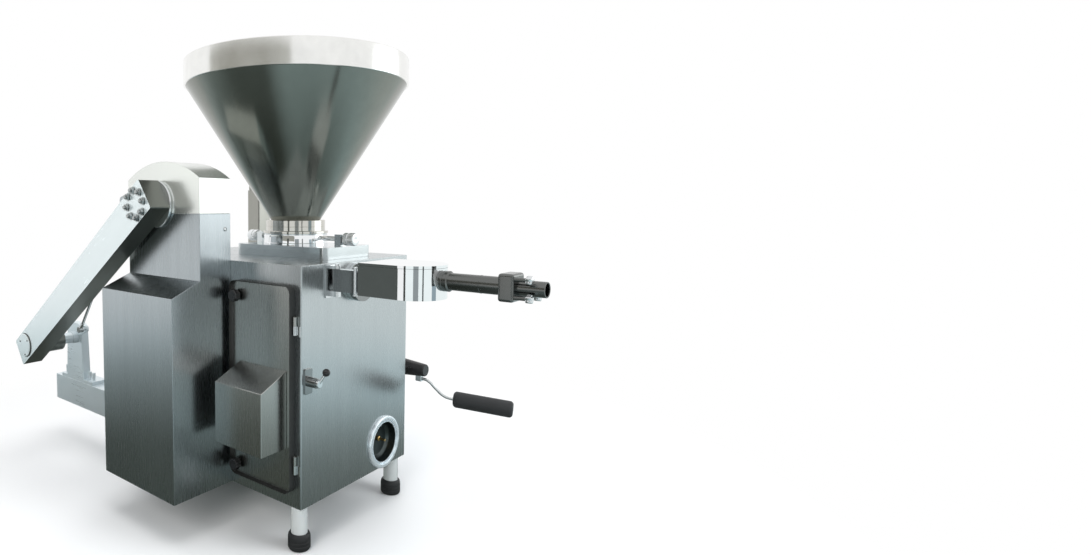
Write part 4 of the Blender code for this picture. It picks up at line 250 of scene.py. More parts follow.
# Mains lead
# Round rubber lead: out of its gland, down to the floor and in under the cabinet, where it is coiled in two
# layers. Its moulded plug, with four pins and a ribbed grip, lies beside the coil.
CORD_DIAMETER = 0.014
CORD_GAP = 0.0003
GLAND_SPOT = (-0.456, 0.328)
KNOT_STEPS = 3
COIL_CENTRE = (-0.300, 0.330)
COIL_START = 0.1083
COIL_RINGS = (0.0943, 0.0800, 0.0657)
COIL_STEPS = 12
ENTRY_TURN = 0.25
JOG_START = 2 / 3
JOG_DIP = 0.009
CLIMB_START = 225
CLIMB_REACH = 85
LEAVE_TURN = 235
LEAVE_PULL = 0.2
LEAVE_STEPS = 8
PLUG_START = -0.1984
PLUG_Z = 0.0243
RELIEF_Z = 0.0355


def at(x, y, z):
    """A place given from the middle of the cabinet's front edge on the floor."""
    return cabinet_front + Vector((x, y, z))


def ease(share):
    """Goes smoothly from zero to one."""
    share = min(max(share, 0), 1)
    return share * share * (3 - 2 * share)


def lead_points():
    """The lead from its gland to the coil, the same curve as the plain solid's."""
    x, z = GLAND_SPOT
    ground = CORD_DIAMETER / 2
    knots = [(x, -0.0355, z), (x, -0.045, z), (x - 0.006, -0.064, z - 0.022), (x - 0.018, -0.070, z - 0.070),
             (x - 0.040, -0.060, z * 0.55), (x - 0.062, -0.040, z * 0.275), (x - 0.066, 0.000, 0.026),
             (x - 0.052, 0.060, ground), (x - 0.020, 0.140, ground), (x + 0.020, 0.200, ground),
             (COIL_CENTRE[0] - 0.060, COIL_CENTRE[1] - COIL_START - 0.014, ground),
             (COIL_CENTRE[0], COIL_CENTRE[1] - COIL_START, ground)]
    points = [Vector(knots[0])]
    for index in range(1, len(knots) - 1):
        before = Vector(knots[index - 1])
        start = Vector(knots[index])
        end = Vector(knots[index + 1])
        after = Vector(knots[min(index + 2, len(knots) - 1)])
        for step in range(KNOT_STEPS):
            t = step / KNOT_STEPS
            slope = end - before
            bend = 2 * before - 5 * start + 4 * end - after
            twist = 3 * start - before - 3 * end + after
            points.append(0.5 * (2 * start + slope * t + bend * t ** 2 + twist * t ** 3))
    return [Vector((point.x, point.y, max(point.z, ground + CORD_GAP))) for point in points]


def coil_points():
    """Three turns inwards on the floor, three outwards on top of them, and the way over to the plug."""
    low = CORD_DIAMETER / 2 + CORD_GAP
    rise = CORD_DIAMETER + CORD_GAP
    outer, middle, inner = COIL_RINGS
    turns = [(outer, middle, 0, 0, 0), (middle, inner, 0, 0, 0), (inner, inner, 0, 1, JOG_DIP),
             (inner, middle, 1, 1, 0), (middle, outer, 1, 1, 0)]
    points = []
    for index, (start, end, floor_start, floor_end, dip) in enumerate(turns):
        for step in range(COIL_STEPS):
            share = step / COIL_STEPS
            into_jog = (share - JOG_START) / (1 - JOG_START)
            jog = ease(into_jog)
            radius = start + (end - start) * jog - dip * math.sin(math.pi * max(into_jog, 0))
            if index == 0:
                radius += (COIL_START - outer) * (1 - ease(share / ENTRY_TURN))
            angle = 2 * math.pi * share - math.pi / 2
            level = low + rise * (floor_start + (floor_end - floor_start) * jog)
            points.append(Vector((radius * math.cos(angle), radius * math.sin(angle), level)))
    for step in range(COIL_STEPS - 1):
        turn = 360 * step / COIL_STEPS
        angle = math.radians(turn - 90)
        level = low + rise * (1 + ease((turn - CLIMB_START) / CLIMB_REACH))
        points.append(Vector((outer * math.cos(angle), outer * math.sin(angle), level)))
    leave = math.radians(LEAVE_TURN)
    start = Vector((outer * math.cos(leave), outer * math.sin(leave), low + 2 * rise))
    end = Vector((PLUG_START - COIL_CENTRE[0], 0, RELIEF_Z))
    start_pull = Vector((-math.sin(leave), math.cos(leave), 0)) * LEAVE_PULL
    end_pull = Vector((LEAVE_PULL, 0, 0))
    for step in range(LEAVE_STEPS + 1):
        t = step / LEAVE_STEPS
        points.append(start * (2 * t ** 3 - 3 * t ** 2 + 1) + start_pull * (t ** 3 - 2 * t ** 2 + t)
                      + end * (3 * t ** 2 - 2 * t ** 3) + end_pull * (t ** 3 - t ** 2))
    return [point + Vector((*COIL_CENTRE, 0)) for point in points]


def round_line(name, points, radius):
    """A round cord or rod along points, with a smooth line through them."""
    curve = bpy.data.curves.new(name, "CURVE")
    curve.dimensions = "3D"
    curve.bevel_depth = radius
    curve.bevel_resolution = 4
    curve.resolution_u = 4
    curve.use_fill_caps = True
    spline = curve.splines.new("BEZIER")
    spline.bezier_points.add(len(points) - 1)
    for spot_on_line, point in zip(spline.bezier_points, points):
        spot_on_line.co = at(*point)
        spot_on_line.handle_left_type = "AUTO"
        spot_on_line.handle_right_type = "AUTO"
    piece = bpy.data.objects.new(name, curve)
    bpy.context.collection.objects.link(piece)
    return piece


lead = round_line("lead", lead_points() + coil_points(), CORD_DIAMETER / 2)


def deselect():
    """Leaves edit mode and clears the selection, so that an operator acts on one piece only."""
    if bpy.context.object and bpy.context.object.mode != "OBJECT":
        bpy.ops.object.mode_set(mode="OBJECT")
    bpy.ops.object.select_all(action="DESELECT")


def select(piece):
    """Makes one piece the only selected and active one."""
    deselect()
    piece.select_set(True)
    bpy.context.view_layer.objects.active = piece


def smoothed(piece, sharp=30):
    """Smooth shading that keeps flat faces flat beside their rounded edges."""
    select(piece)
    bpy.ops.object.shade_smooth_by_angle(angle=math.radians(sharp))
    weigh = piece.modifiers.new("flat faces", "WEIGHTED_NORMAL")
    weigh.weight = 100
    weigh.keep_sharp = True
    bpy.ops.object.modifier_apply(modifier=weigh.name)
    return piece


TURNED_REACH = 0.00002


def lathe(name, profile, centre, axis=(0, 0, 1), steps=96, sharp=30):
    """Turns a profile of (radius, height) points round an axis through a place."""
    deselect()
    bpy.ops.mesh.primitive_plane_add(size=0.01, location=(0, 0, 0))
    piece = bpy.context.object
    piece.name = name
    bpy.ops.object.mode_set(mode="EDIT")
    bpy.ops.mesh.select_all(action="SELECT")
    bpy.ops.mesh.merge(type="CENTER")
    bpy.ops.transform.translate(value=(profile[0][0], 0, profile[0][1]))
    for before, after in zip(profile, profile[1:]):
        step = (after[0] - before[0], 0, after[1] - before[1])
        bpy.ops.mesh.extrude_region_move(TRANSFORM_OT_translate={"value": step})
    bpy.ops.mesh.select_all(action="SELECT")
    bpy.ops.mesh.spin(steps=steps, angle=2 * math.pi, center=(0, 0, 0), axis=(0, 0, 1))
    bpy.ops.mesh.select_all(action="SELECT")
    bpy.ops.mesh.remove_doubles(threshold=TURNED_REACH)
    bpy.ops.mesh.normals_make_consistent(inside=False)
    bpy.ops.object.mode_set(mode="OBJECT")
    turn = Vector((0, 0, 1)).rotation_difference(Vector(axis).normalized()).to_matrix().to_4x4()
    piece.data.transform(Matrix.Translation(at(*centre)) @ turn)
    bpy.ops.object.shade_smooth_by_angle(angle=math.radians(sharp))
    return piece


def joined(name, *pieces):
    """Several shapes as one piece."""
    select(pieces[0])
    for other in pieces[1:]:
        other.select_set(True)
    bpy.ops.object.join()
    pieces[0].name = name
    return pieces[0]


RIB_COUNT = 7
RIB_START = 0.048
RIB_PITCH = 0.0035
RIB_RADIUS = 0.0145
RIB_GROWTH = 0.0006
PLUG_RADIUS = 0.0240
PLUG_MOUTH = 0.110
plug_profile = [(0, 0.040), (0.0100, 0.040), (0.0112, 0.046)]
for rib in range(RIB_COUNT):
    rib_start = RIB_START + rib * RIB_PITCH
    rib_radius = RIB_RADIUS + rib * RIB_GROWTH
    plug_profile += [(rib_radius - 0.0010, rib_start), (rib_radius, rib_start + 0.001),
                     (rib_radius, rib_start + 0.002), (rib_radius - 0.0015, rib_start + 0.003)]
plug_profile += [(0.0200, 0.074), (0.0232, 0.077), (PLUG_RADIUS, 0.080), (PLUG_RADIUS, 0.104),
                 (0.0230, PLUG_MOUTH - 0.0015), (0.0215, PLUG_MOUTH), (0.0200, PLUG_MOUTH),
                 (0.0195, PLUG_MOUTH - 0.003), (0, PLUG_MOUTH - 0.003)]
plug = lathe("plug", plug_profile, (PLUG_START, COIL_CENTRE[1], PLUG_Z), (1, 0, 0), 48)

PIN_COUNT = 4
PIN_CIRCLE = 0.012
PIN_RADIUS = 0.003
PIN_LENGTH = 0.028
PIN_START = PLUG_START + 0.100
pin_profile = [(0, 0), (PIN_RADIUS, 0), (PIN_RADIUS, PIN_LENGTH - 0.0015), (PIN_RADIUS - 0.001, PIN_LENGTH),
               (0, PIN_LENGTH)]
plug_pins = []
for index in range(PIN_COUNT):
    angle = 2 * math.pi * (index + 0.5) / PIN_COUNT
    pin_place = (PIN_START, COIL_CENTRE[1] + PIN_CIRCLE * math.cos(angle),
                 PLUG_Z + PIN_CIRCLE * math.sin(angle))
    plug_pins.append(lathe("plug_pin", pin_profile, pin_place, (1, 0, 0), 16))
plug_contacts = joined("plug_contacts", *plug_pins)

RELIEF_STEPS = 10
RELIEF_START = PLUG_START - 0.003
RELIEF_LENGTH = 0.047
RELIEF_RADIUS = 0.0102
RELIEF_THIN = 0.76
RELIEF_THICK = 1.06
relief_points = []
for step in range(RELIEF_STEPS + 1):
    share = step / RELIEF_STEPS
    relief_points.append(Vector((RELIEF_START + RELIEF_LENGTH * share, COIL_CENTRE[1],
                                 RELIEF_Z + (PLUG_Z - RELIEF_Z) * ease(share))))
relief = round_line("plug_relief", relief_points, RELIEF_RADIUS)
for step, spot_on_line in enumerate(relief.data.splines[0].bezier_points):
    spot_on_line.radius = RELIEF_THIN + (RELIEF_THICK - RELIEF_THIN) * step / RELIEF_STEPS

# Cabinet
# Welded from brushed stainless sheet, with small radii where the sheet is folded and a doorway in front.
# A screwed cover closes its left side.
EDGE_RADIUS = 0.003
WELD_REACH = 0.00001
FLAT_ANGLE = 0.6


def dressed(name, node, edge=EDGE_RADIUS, segments=3, sharp=28):
    """A copy of a CAD node, welded from its loose triangles, with its sheet edges rounded over."""
    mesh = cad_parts[node].data.copy()
    mesh.materials.clear()
    piece = bpy.data.objects.new(name, mesh)
    bpy.context.collection.objects.link(piece)
    select(piece)
    bpy.ops.object.mode_set(mode="EDIT")
    bpy.ops.mesh.select_all(action="SELECT")
    bpy.ops.mesh.remove_doubles(threshold=WELD_REACH)
    bpy.ops.mesh.dissolve_limited(angle_limit=math.radians(FLAT_ANGLE))
    bpy.ops.object.mode_set(mode="OBJECT")
    if edge:
        bevel = piece.modifiers.new("edges", "BEVEL")
        bevel.width = edge
        bevel.segments = segments
        bevel.limit_method = "ANGLE"
        bevel.angle_limit = math.radians(sharp)
        bpy.ops.object.modifier_apply(modifier=bevel.name)
    return smoothed(piece, sharp)


def finish_piece(piece, material, body, slot, *nodes):
    """Gives a piece its material and its body, and hides the CAD nodes that it stands for. The slot is not
    used.
    """
    piece.data.materials.clear()
    piece.data.materials.append(material)
    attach(piece, body)
    if nodes:
        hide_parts(*nodes)


def block(name, low, high, edge, segments=3):
    """A block between two corners, its edges rounded over."""
    deselect()
    bpy.ops.mesh.primitive_cube_add(size=1, location=(at(*low) + at(*high)) / 2)
    piece = bpy.context.object
    piece.name = name
    piece.scale = Vector(high) - Vector(low)
    bpy.ops.object.transform_apply(location=True, rotation=True, scale=True)
    bpy.ops.object.mode_set(mode="EDIT")
    bpy.ops.mesh.select_all(action="SELECT")
    bpy.ops.mesh.bevel(offset=edge, segments=segments, affect="EDGES")
    bpy.ops.object.mode_set(mode="OBJECT")
    return smoothed(piece)


def round_plate(name, low, high, corner):
    """An upright plate on the front side, with rounded corners."""
    deselect()
    bpy.ops.mesh.primitive_cube_add(size=1, location=(at(*low) + at(*high)) / 2)
    piece = bpy.context.object
    piece.name = name
    piece.scale = Vector(high) - Vector(low)
    bpy.ops.object.transform_apply(location=True, rotation=True, scale=True)
    for edge in piece.data.edges:
        first, second = (piece.data.vertices[index].co for index in edge.vertices)
        edge.select = abs(first.y - second.y) > abs(first.x - second.x) + abs(first.z - second.z)
    bpy.context.tool_settings.mesh_select_mode = (False, True, False)
    bpy.ops.object.mode_set(mode="EDIT")
    bpy.ops.mesh.bevel(offset=corner, segments=8, affect="EDGES")
    bpy.ops.object.mode_set(mode="OBJECT")
    bpy.context.tool_settings.mesh_select_mode = (True, False, False)
    return smoothed(piece)


def button_screws(name, places, axis, radius):
    """Round-headed screws with a socket, standing on a face."""
    head = [(radius * 0.45, radius * 0.2), (radius * 0.5, radius * 0.55), (radius * 0.75, radius * 0.45),
            (radius, radius * 0.12), (radius, -0.0005)]
    return joined(name, *[lathe("screw", [(0, radius * 0.2)] + head, place, axis, 20) for place in places])


def noise(tree, scale, detail, stretch, lean=0):
    """A noise on Object coordinates, stretched along the directions where its scale is small."""
    place = tree.nodes.new("ShaderNodeTexCoord")
    turn = tree.nodes.new("ShaderNodeVectorRotate")
    turn.rotation_type = "Y_AXIS"
    turn.inputs["Angle"].default_value = lean
    mapping = tree.nodes.new("ShaderNodeMapping")
    mapping.inputs["Scale"].default_value = stretch
    grain = tree.nodes.new("ShaderNodeTexNoise")
    grain.inputs["Scale"].default_value = scale
    grain.inputs["Detail"].default_value = detail
    link(tree, place.outputs["Object"], turn.inputs["Vector"])
    link(tree, turn.outputs["Vector"], mapping.inputs["Vector"])
    link(tree, mapping.outputs["Vector"], grain.inputs["Vector"])
    return grain.outputs["Fac"]


def spread(tree, value, low, high, start=0.3, end=0.7):
    """Maps a noise onto a range."""
    step = tree.nodes.new("ShaderNodeMapRange")
    step.inputs["From Min"].default_value = start
    step.inputs["From Max"].default_value = end
    step.inputs["To Min"].default_value = low
    step.inputs["To Max"].default_value = high
    link(tree, value, step.inputs["Value"])
    return step.outputs["Result"]


def tinted(tree, colour, share):
    """A colour made lighter and darker by a share around one."""
    tint = tree.nodes.new("ShaderNodeMix")
    tint.data_type = "RGBA"
    tint.blend_type = "MULTIPLY"
    tint.inputs["Factor"].default_value = 1
    tint.inputs["A"].default_value = (*colour, 1)
    link(tree, share, tint.inputs["B"])
    return tint.outputs["Result"]


FINE_LINES = 420
BROAD_STREAKS = 22
CLOUD_SCALE = 3.0
FINE_STRETCH = 0.02
BROAD_STRETCH = 0.06
LINE_DEPTH = 0.001
GLOSS_SHARE = 0.06


def steel(name, colour, roughness, grain="Z", streak=0.025, cloud=0.02, bump=0.005, lean=0, metal=1):
    """Ground stainless: fine lines along one axis, broad soft streaks and faint cloudy wear."""
    look = bpy.data.materials.new(name)
    look.use_nodes = True
    tree = look.node_tree
    shader = tree.nodes["Principled BSDF"]
    shader.inputs["Metallic"].default_value = metal
    fine_stretch = [1, 1, 1]
    broad_stretch = [1, 1, 1]
    if grain != "none":
        fine_stretch["XYZ".index(grain)] = FINE_STRETCH
        broad_stretch["XYZ".index(grain)] = BROAD_STRETCH
    fine = noise(tree, FINE_LINES, 3, fine_stretch, lean)
    broad = noise(tree, BROAD_STREAKS, 4, broad_stretch, lean)
    clouds = noise(tree, CLOUD_SCALE, 3, (1, 1, 1))
    both = tree.nodes.new("ShaderNodeMath")
    both.operation = "MULTIPLY"
    link(tree, spread(tree, broad, 1 - streak, 1 + streak), both.inputs[0])
    link(tree, spread(tree, clouds, 1 - cloud, 1 + cloud), both.inputs[1])
    link(tree, tinted(tree, colour, both.outputs[0]), shader.inputs["Base Color"])
    rough = tree.nodes.new("ShaderNodeMath")
    rough.operation = "ADD"
    fine_reach = roughness * GLOSS_SHARE
    link(tree, spread(tree, fine, roughness - fine_reach, roughness + fine_reach), rough.inputs[0])
    link(tree, spread(tree, clouds, -fine_reach, fine_reach), rough.inputs[1])
    link(tree, rough.outputs[0], shader.inputs["Roughness"])
    lines = tree.nodes.new("ShaderNodeBump")
    lines.inputs["Strength"].default_value = bump
    lines.inputs["Distance"].default_value = LINE_DEPTH
    link(tree, fine, lines.inputs["Height"])
    link(tree, lines.outputs["Normal"], shader.inputs["Normal"])
    return look


BODY_RIGHT = 0.5
COVER_FACE = -0.520
COVER_SCREW_Y = (0.065, 0.375, 0.685)
COVER_SCREW_Z = (0.262, 0.635, 1.008)
COVER_SCREW_RADIUS = 0.008
cabinet_steel = steel("cabinet steel", (0.50, 0.53, 0.54), 0.27, "Z")
bright_steel = steel("bright steel", (0.72, 0.74, 0.75), 0.16, "none")
finish_piece(dressed("cabinet", "base_housing"), cabinet_steel, "machine", "brushed_steel", "base_housing")
finish_piece(dressed("side_cover", "left_side_panel"), cabinet_steel, "machine", "brushed_steel",
             "left_side_panel")
cover_screws = [(COVER_FACE, y, z) for y in COVER_SCREW_Y for z in COVER_SCREW_Z]
finish_piece(button_screws("side_cover_screws", cover_screws, (-1, 0, 0), COVER_SCREW_RADIUS), bright_steel,
             "machine", "brushed_steel")

# Legs and feet
# Bright tubular legs under the cabinet's corners, each with a weld bead at its top. Each stands in a moulded
# rubber foot with two grooves.
LEG_X = 0.452
LEG_Y = (0.045, 0.705)
LEG_RADIUS = 0.0340
LEG_TOP = 0.1837
FOOT_RADIUS = 0.0460
FOOT_GROOVES = (0.0215, 0.0375)
FOOT_TOP = 0.067
LEG_FOOT = FOOT_TOP + 0.0003
SKIN_DEPTH = 0.0006
PATCH_SCALE = 14
PATCH_TINT = 0.18
PATCH_GLOSS = 0.06
leg_steel = steel("leg steel", (0.90, 0.93, 0.93), 0.18, "Z", metal=0.5)


def plastic(name, colour, roughness, grain_scale=900, bump=0.08):
    """Moulded plastic or rubber with a fine skin and faint uneven gloss."""
    look = bpy.data.materials.new(name)
    look.use_nodes = True
    tree = look.node_tree
    shader = tree.nodes["Principled BSDF"]
    skin = noise(tree, grain_scale, 2, (1, 1, 1))
    patches = noise(tree, PATCH_SCALE, 3, (1, 1, 1))
    tint = spread(tree, patches, 1 - PATCH_TINT, 1 + PATCH_TINT)
    link(tree, tinted(tree, colour, tint), shader.inputs["Base Color"])
    gloss = spread(tree, patches, roughness - PATCH_GLOSS, roughness + PATCH_GLOSS)
    link(tree, gloss, shader.inputs["Roughness"])
    pits = tree.nodes.new("ShaderNodeBump")
    pits.inputs["Strength"].default_value = bump
    pits.inputs["Distance"].default_value = SKIN_DEPTH
    link(tree, skin, pits.inputs["Height"])
    link(tree, pits.outputs["Normal"], shader.inputs["Normal"])
    return look


foot_rubber = plastic("foot rubber", (0.016, 0.017, 0.018), 0.55)
foot_profile = [(0, 0), (0.039, 0), (0.0415, 0.0015), (0.0455, 0.008), (FOOT_RADIUS, 0.010)]
for groove in FOOT_GROOVES:
    foot_profile += [(FOOT_RADIUS, groove - 0.0015), (FOOT_RADIUS - 0.0015, groove),
                     (FOOT_RADIUS - 0.0015, groove + 0.0020), (FOOT_RADIUS, groove + 0.0035)]
foot_profile += [(0.0458, 0.052), (0.0440, 0.060), (0.0410, 0.0655), (0.0385, FOOT_TOP), (0, FOOT_TOP)]
tube_profile = [(0, LEG_FOOT), (LEG_RADIUS, LEG_FOOT), (LEG_RADIUS, LEG_TOP - 0.0077),
                (LEG_RADIUS + 0.0018, LEG_TOP - 0.0062), (LEG_RADIUS + 0.0022, LEG_TOP), (0, LEG_TOP)]
for side, leg_x in (("left", -LEG_X), ("right", LEG_X)):
    for end, leg_y in (("front", LEG_Y[0]), ("rear", LEG_Y[1])):
        leg = lathe(f"tube_leg_{end}_{side}", tube_profile, (leg_x, leg_y, 0))
        finish_piece(leg, leg_steel, "machine", "brushed_steel", f"leg_{end}_{side}")
        foot = lathe(f"rubber_foot_{end}_{side}", foot_profile, (leg_x, leg_y, 0))
        finish_piece(foot, foot_rubber, "machine", "black_rubber", f"foot_{end}_{side}")

# Port
# A turned steel ring clamped round a pressed, dished cover on the right side. A small brass nozzle is
# screwed into the dish.
PORT_PLACE = (BODY_RIGHT, 0.567, 0.300)
port_steel = steel("port ring steel", (0.86, 0.93, 0.97), 0.22, "none", metal=0.7)
dish_steel = steel("port dish steel", (0.10, 0.12, 0.12), 0.34, "none")
ring_profile = [(0.0900, 0.0003), (0.1180, 0.0003), (0.1180, 0.0065), (0.1170, 0.0095), (0.1140, 0.0118),
                (0.1110, 0.0122), (0.1030, 0.0122), (0.1000, 0.0112), (0.0985, 0.0085), (0.0980, 0.0035),
                (0.0940, 0.0035), (0.0937, 0.0075), (0.0928, 0.0088), (0.0912, 0.0088), (0.0902, 0.0075),
                (0.0900, 0.0003)]
finish_piece(lathe("port_clamp_ring", ring_profile, PORT_PLACE, (1, 0, 0), 96, 35), port_steel, "machine",
             "brushed_steel", "port_ring")
dish_profile = [(0, -0.045), (0.068, -0.045), (0.078, -0.042), (0.0870, -0.031), (0.0893, -0.026),
                (0.0893, 0.006), (0.0875, 0.006), (0.0873, -0.024), (0.0850, -0.030), (0.0765, -0.0395),
                (0.067, -0.0425), (0, -0.0425)]
finish_piece(lathe("port_cover", dish_profile, PORT_PLACE, (1, 0, 0)), dish_steel, "machine", "brushed_steel",
             "port_dish")
brass = steel("turned brass", (0.70, 0.48, 0.20), 0.26, "none")
finish_piece(dressed("brass_nozzle", "drain_nozzle", 0.001), brass, "machine", "brass", "drain_nozzle")

# Column
# Casing folded from brushed sheet, with a sloped shoulder and a narrower neck, which has one screw on its
# side. A domed sheet head closes it above the seam.
NECK_SCREW = (0.106, -0.030, 1.270)
NECK_SCREW_RADIUS = 0.009
column_steel = steel("column steel", (0.44, 0.48, 0.50), 0.27, "Z", streak=0.035)
dome_steel = steel("dome steel", (0.80, 0.82, 0.79), 0.24, "X", streak=0.02, bump=0.004, metal=0.9)
finish_piece(dressed("column_shell", "column_casing"), column_steel, "machine", "brushed_steel",
             "column_casing")
finish_piece(dressed("dome_shell", "column_dome", 0.002, 2, 40), dome_steel, "machine", "brushed_steel",
             "column_dome")
finish_piece(button_screws("neck_screw", [NECK_SCREW], (1, 0, 0), NECK_SCREW_RADIUS), bright_steel, "machine",
             "brushed_steel")

# Lift drive
# Cast gearmotor with grey enamel, bolted inside the column. Only its hollow shaft comes out, in front, and
# the lifting arm turns on it.
grey_enamel = plastic("grey enamel", (0.20, 0.23, 0.25), 0.42, grain_scale=160, bump=0.15)
finish_piece(dressed("geared_motor", "lift_gearmotor", 0.002), grey_enamel, "machine", "painted_casting",
             "lift_gearmotor")

# Lifting arm
# Box arm welded from sheet and ground along its length. Eight bolts hold it to the flange of its shaft, and
# a round cap with three screws closes the bearing at its foot.
ARM_PIVOT = (-0.168, 1.373)
ARM_FRONT = -0.280
ARM_DROP = math.radians(35.6)
FLANGE_FACE = -0.1797
FLANGE_RADIUS = 0.1000
FLANGE_DEPTH = 0.0131
SHAFT_RADIUS = 0.0450
BOLT_CIRCLE = 0.058
BOLT_COUNT = 8
STUD_RADIUS = 0.0080
NUT_RADIUS = 0.0145
WASHER_RADIUS = 0.0170
CAP_SEAM_RADIUS = 0.0645
CAP_SEAM_WIDTH = 0.0033
CAP_SCREW_COUNT = 3
CAP_SCREW_CIRCLE = 0.048
CAP_SCREW_TURN = 40
CAP_SCREW_RADIUS = 0.0055
# Limits of the front-facing faces, and the gloss of the painted shade on the arm's other faces.
FRONT_FACES = -0.75
OTHER_FACES = -0.35
PAINTED_SHADE_ROUGHNESS = 0.32
arm_steel = steel("arm steel", (0.74, 0.81, 0.82), 0.25, "X", streak=0.010, cloud=0.015, bump=0.004,
                  lean=ARM_DROP, metal=0.7)


def shade_away_from_front(look, other):
    """Paints shade on a material: faces turned to the front keep its look, and all other faces get painted
    shade in the given colour, with a rougher gloss.
    """
    tree = look.node_tree
    shader = tree.nodes["Principled BSDF"]
    facing = tree.nodes.new("ShaderNodeTexCoord")
    parts = tree.nodes.new("ShaderNodeSeparateXYZ")
    link(tree, facing.outputs["Normal"], parts.inputs[0])
    share = spread(tree, parts.outputs["Y"], 1, 0, FRONT_FACES, OTHER_FACES)
    painted_shade = tree.nodes.new("ShaderNodeBsdfPrincipled")
    painted_shade.inputs["Metallic"].default_value = 1
    painted_shade.inputs["Base Color"].default_value = (*other, 1)
    painted_shade.inputs["Roughness"].default_value = PAINTED_SHADE_ROUGHNESS
    mix = tree.nodes.new("ShaderNodeMixShader")
    link(tree, share, mix.inputs[0])
    link(tree, painted_shade.outputs[0], mix.inputs[1])
    link(tree, shader.outputs[0], mix.inputs[2])
    link(tree, mix.outputs[0], tree.nodes["Material Output"].inputs[0])


# Painted shade: the arm's faces that are not turned to the front are painted dark grey-green.
shade_away_from_front(arm_steel, (0.24, 0.25, 0.23))
finish_piece(dressed("box_arm", "lift_arm", 0.004), arm_steel, "arm", "brushed_steel", "lift_arm")
shaft_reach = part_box("lift_shaft")[1].y - cabinet_front.y - FLANGE_FACE
flange_profile = [(0, 0), (FLANGE_RADIUS - 0.006, 0), (FLANGE_RADIUS - 0.0015, 0.0012),
                  (FLANGE_RADIUS, 0.0030), (FLANGE_RADIUS, FLANGE_DEPTH - 0.0031),
                  (FLANGE_RADIUS - 0.0015, FLANGE_DEPTH - 0.0012),
                  (FLANGE_RADIUS - 0.004, FLANGE_DEPTH), (SHAFT_RADIUS + 0.0005, FLANGE_DEPTH),
                  (SHAFT_RADIUS, FLANGE_DEPTH + 0.0009), (SHAFT_RADIUS, shaft_reach - 0.001),
                  (SHAFT_RADIUS - 0.001, shaft_reach), (0, shaft_reach)]
flange = lathe("flange", flange_profile, (ARM_PIVOT[0], FLANGE_FACE, ARM_PIVOT[1]), (0, 1, 0))
finish_piece(flange, bright_steel, "arm", "polished_steel")
nut_steel = steel("nut steel", (0.40, 0.42, 0.42), 0.20, "none")
washer_profile = [(STUD_RADIUS, -0.0003), (WASHER_RADIUS, -0.0003), (WASHER_RADIUS, 0.0016),
                  (WASHER_RADIUS - 0.0005, 0.0021), (STUD_RADIUS, 0.0021), (STUD_RADIUS, -0.0003)]
nut_profile = [(STUD_RADIUS, 0.0021), (NUT_RADIUS - 0.0017, 0.0021), (NUT_RADIUS, 0.0034),
               (NUT_RADIUS, 0.0124), (NUT_RADIUS - 0.0017, 0.0138), (STUD_RADIUS + 0.001, 0.0138),
               (STUD_RADIUS, 0.0130), (STUD_RADIUS, 0.0021)]
stud_profile = [(0, 0.0010), (STUD_RADIUS, 0.0010), (STUD_RADIUS, 0.0205), (STUD_RADIUS - 0.0012, 0.0218),
                (0, 0.0220)]
bolts = []
for index in range(BOLT_COUNT):
    angle = 2 * math.pi * (index + 0.5) / BOLT_COUNT + ARM_DROP
    bolt_place = (ARM_PIVOT[0] + BOLT_CIRCLE * math.cos(angle), ARM_FRONT,
                  ARM_PIVOT[1] + BOLT_CIRCLE * math.sin(angle))
    bolts.append(lathe("washer", washer_profile, bolt_place, (0, -1, 0), 32))
    bolts.append(lathe("nut", nut_profile, bolt_place, (0, -1, 0), 6, 20))
    bolts.append(lathe("stud", stud_profile, bolt_place, (0, -1, 0), 24))
finish_piece(joined("arm_bolts", *bolts), nut_steel, "arm", "polished_steel", "lift_shaft")
finish_piece(dressed("foot_cap", "arm_end_cap", 0.001, 2), arm_steel, "arm", "brushed_steel", "arm_end_cap")
cap_low, cap_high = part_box("arm_end_cap")
cap_middle = (cap_low + cap_high) / 2 - cabinet_front
seam_bore = CAP_SEAM_RADIUS - CAP_SEAM_WIDTH
seam_profile = [(seam_bore, -0.0002), (CAP_SEAM_RADIUS, -0.0002), (CAP_SEAM_RADIUS, 0.0006),
                (seam_bore, 0.0006), (seam_bore, -0.0002)]
joint_black = plastic("joint black", (0.02, 0.021, 0.02), 0.5)
finish_piece(lathe("foot_cap_seam", seam_profile, (cap_middle.x, ARM_FRONT, cap_middle.z), (0, -1, 0)),
             joint_black, "arm", "black_rubber")
cap_screws = []
for index in range(CAP_SCREW_COUNT):
    angle = math.radians(CAP_SCREW_TURN + 360 / CAP_SCREW_COUNT * index)
    cap_screws.append((cap_middle.x + CAP_SCREW_CIRCLE * math.cos(angle), cap_low.y - cabinet_front.y,
                       cap_middle.z + CAP_SCREW_CIRCLE * math.sin(angle)))
finish_piece(button_screws("foot_cap_screws", cap_screws, (0, -1, 0), CAP_SCREW_RADIUS), nut_steel, "arm",
             "brushed_steel")

# Fork
# Open fork for the trolley, welded from box section. Its pedestal is bolted on top and turns in the arm's
# foot, and a sliding bolt of darker steel on the rear bar locks the trolley.
fork_steel = steel("fork steel", (0.70, 0.77, 0.80), 0.30, "X", streak=0.015, cloud=0.015, metal=0.7)
finish_piece(dressed("trolley_fork", "fork_frame", 0.004), fork_steel, "fork", "brushed_steel", "fork_frame")
finish_piece(dressed("pedestal", "fork_pedestal", 0.0015, 2), fork_steel, "fork", "brushed_steel",
             "fork_pedestal")
finish_piece(dressed("lock_rail", "lock_guide", 0.001, 2), fork_steel, "fork", "brushed_steel", "lock_guide")
dark_steel = steel("dark satin steel", (0.15, 0.155, 0.15), 0.20, "X", streak=0.015, cloud=0.01,
                   bump=0.004)
finish_piece(dressed("lock_handle", "lock_bolt", 0.001, 2), dark_steel, "lock", "satin_dark_steel",
             "lock_bolt")

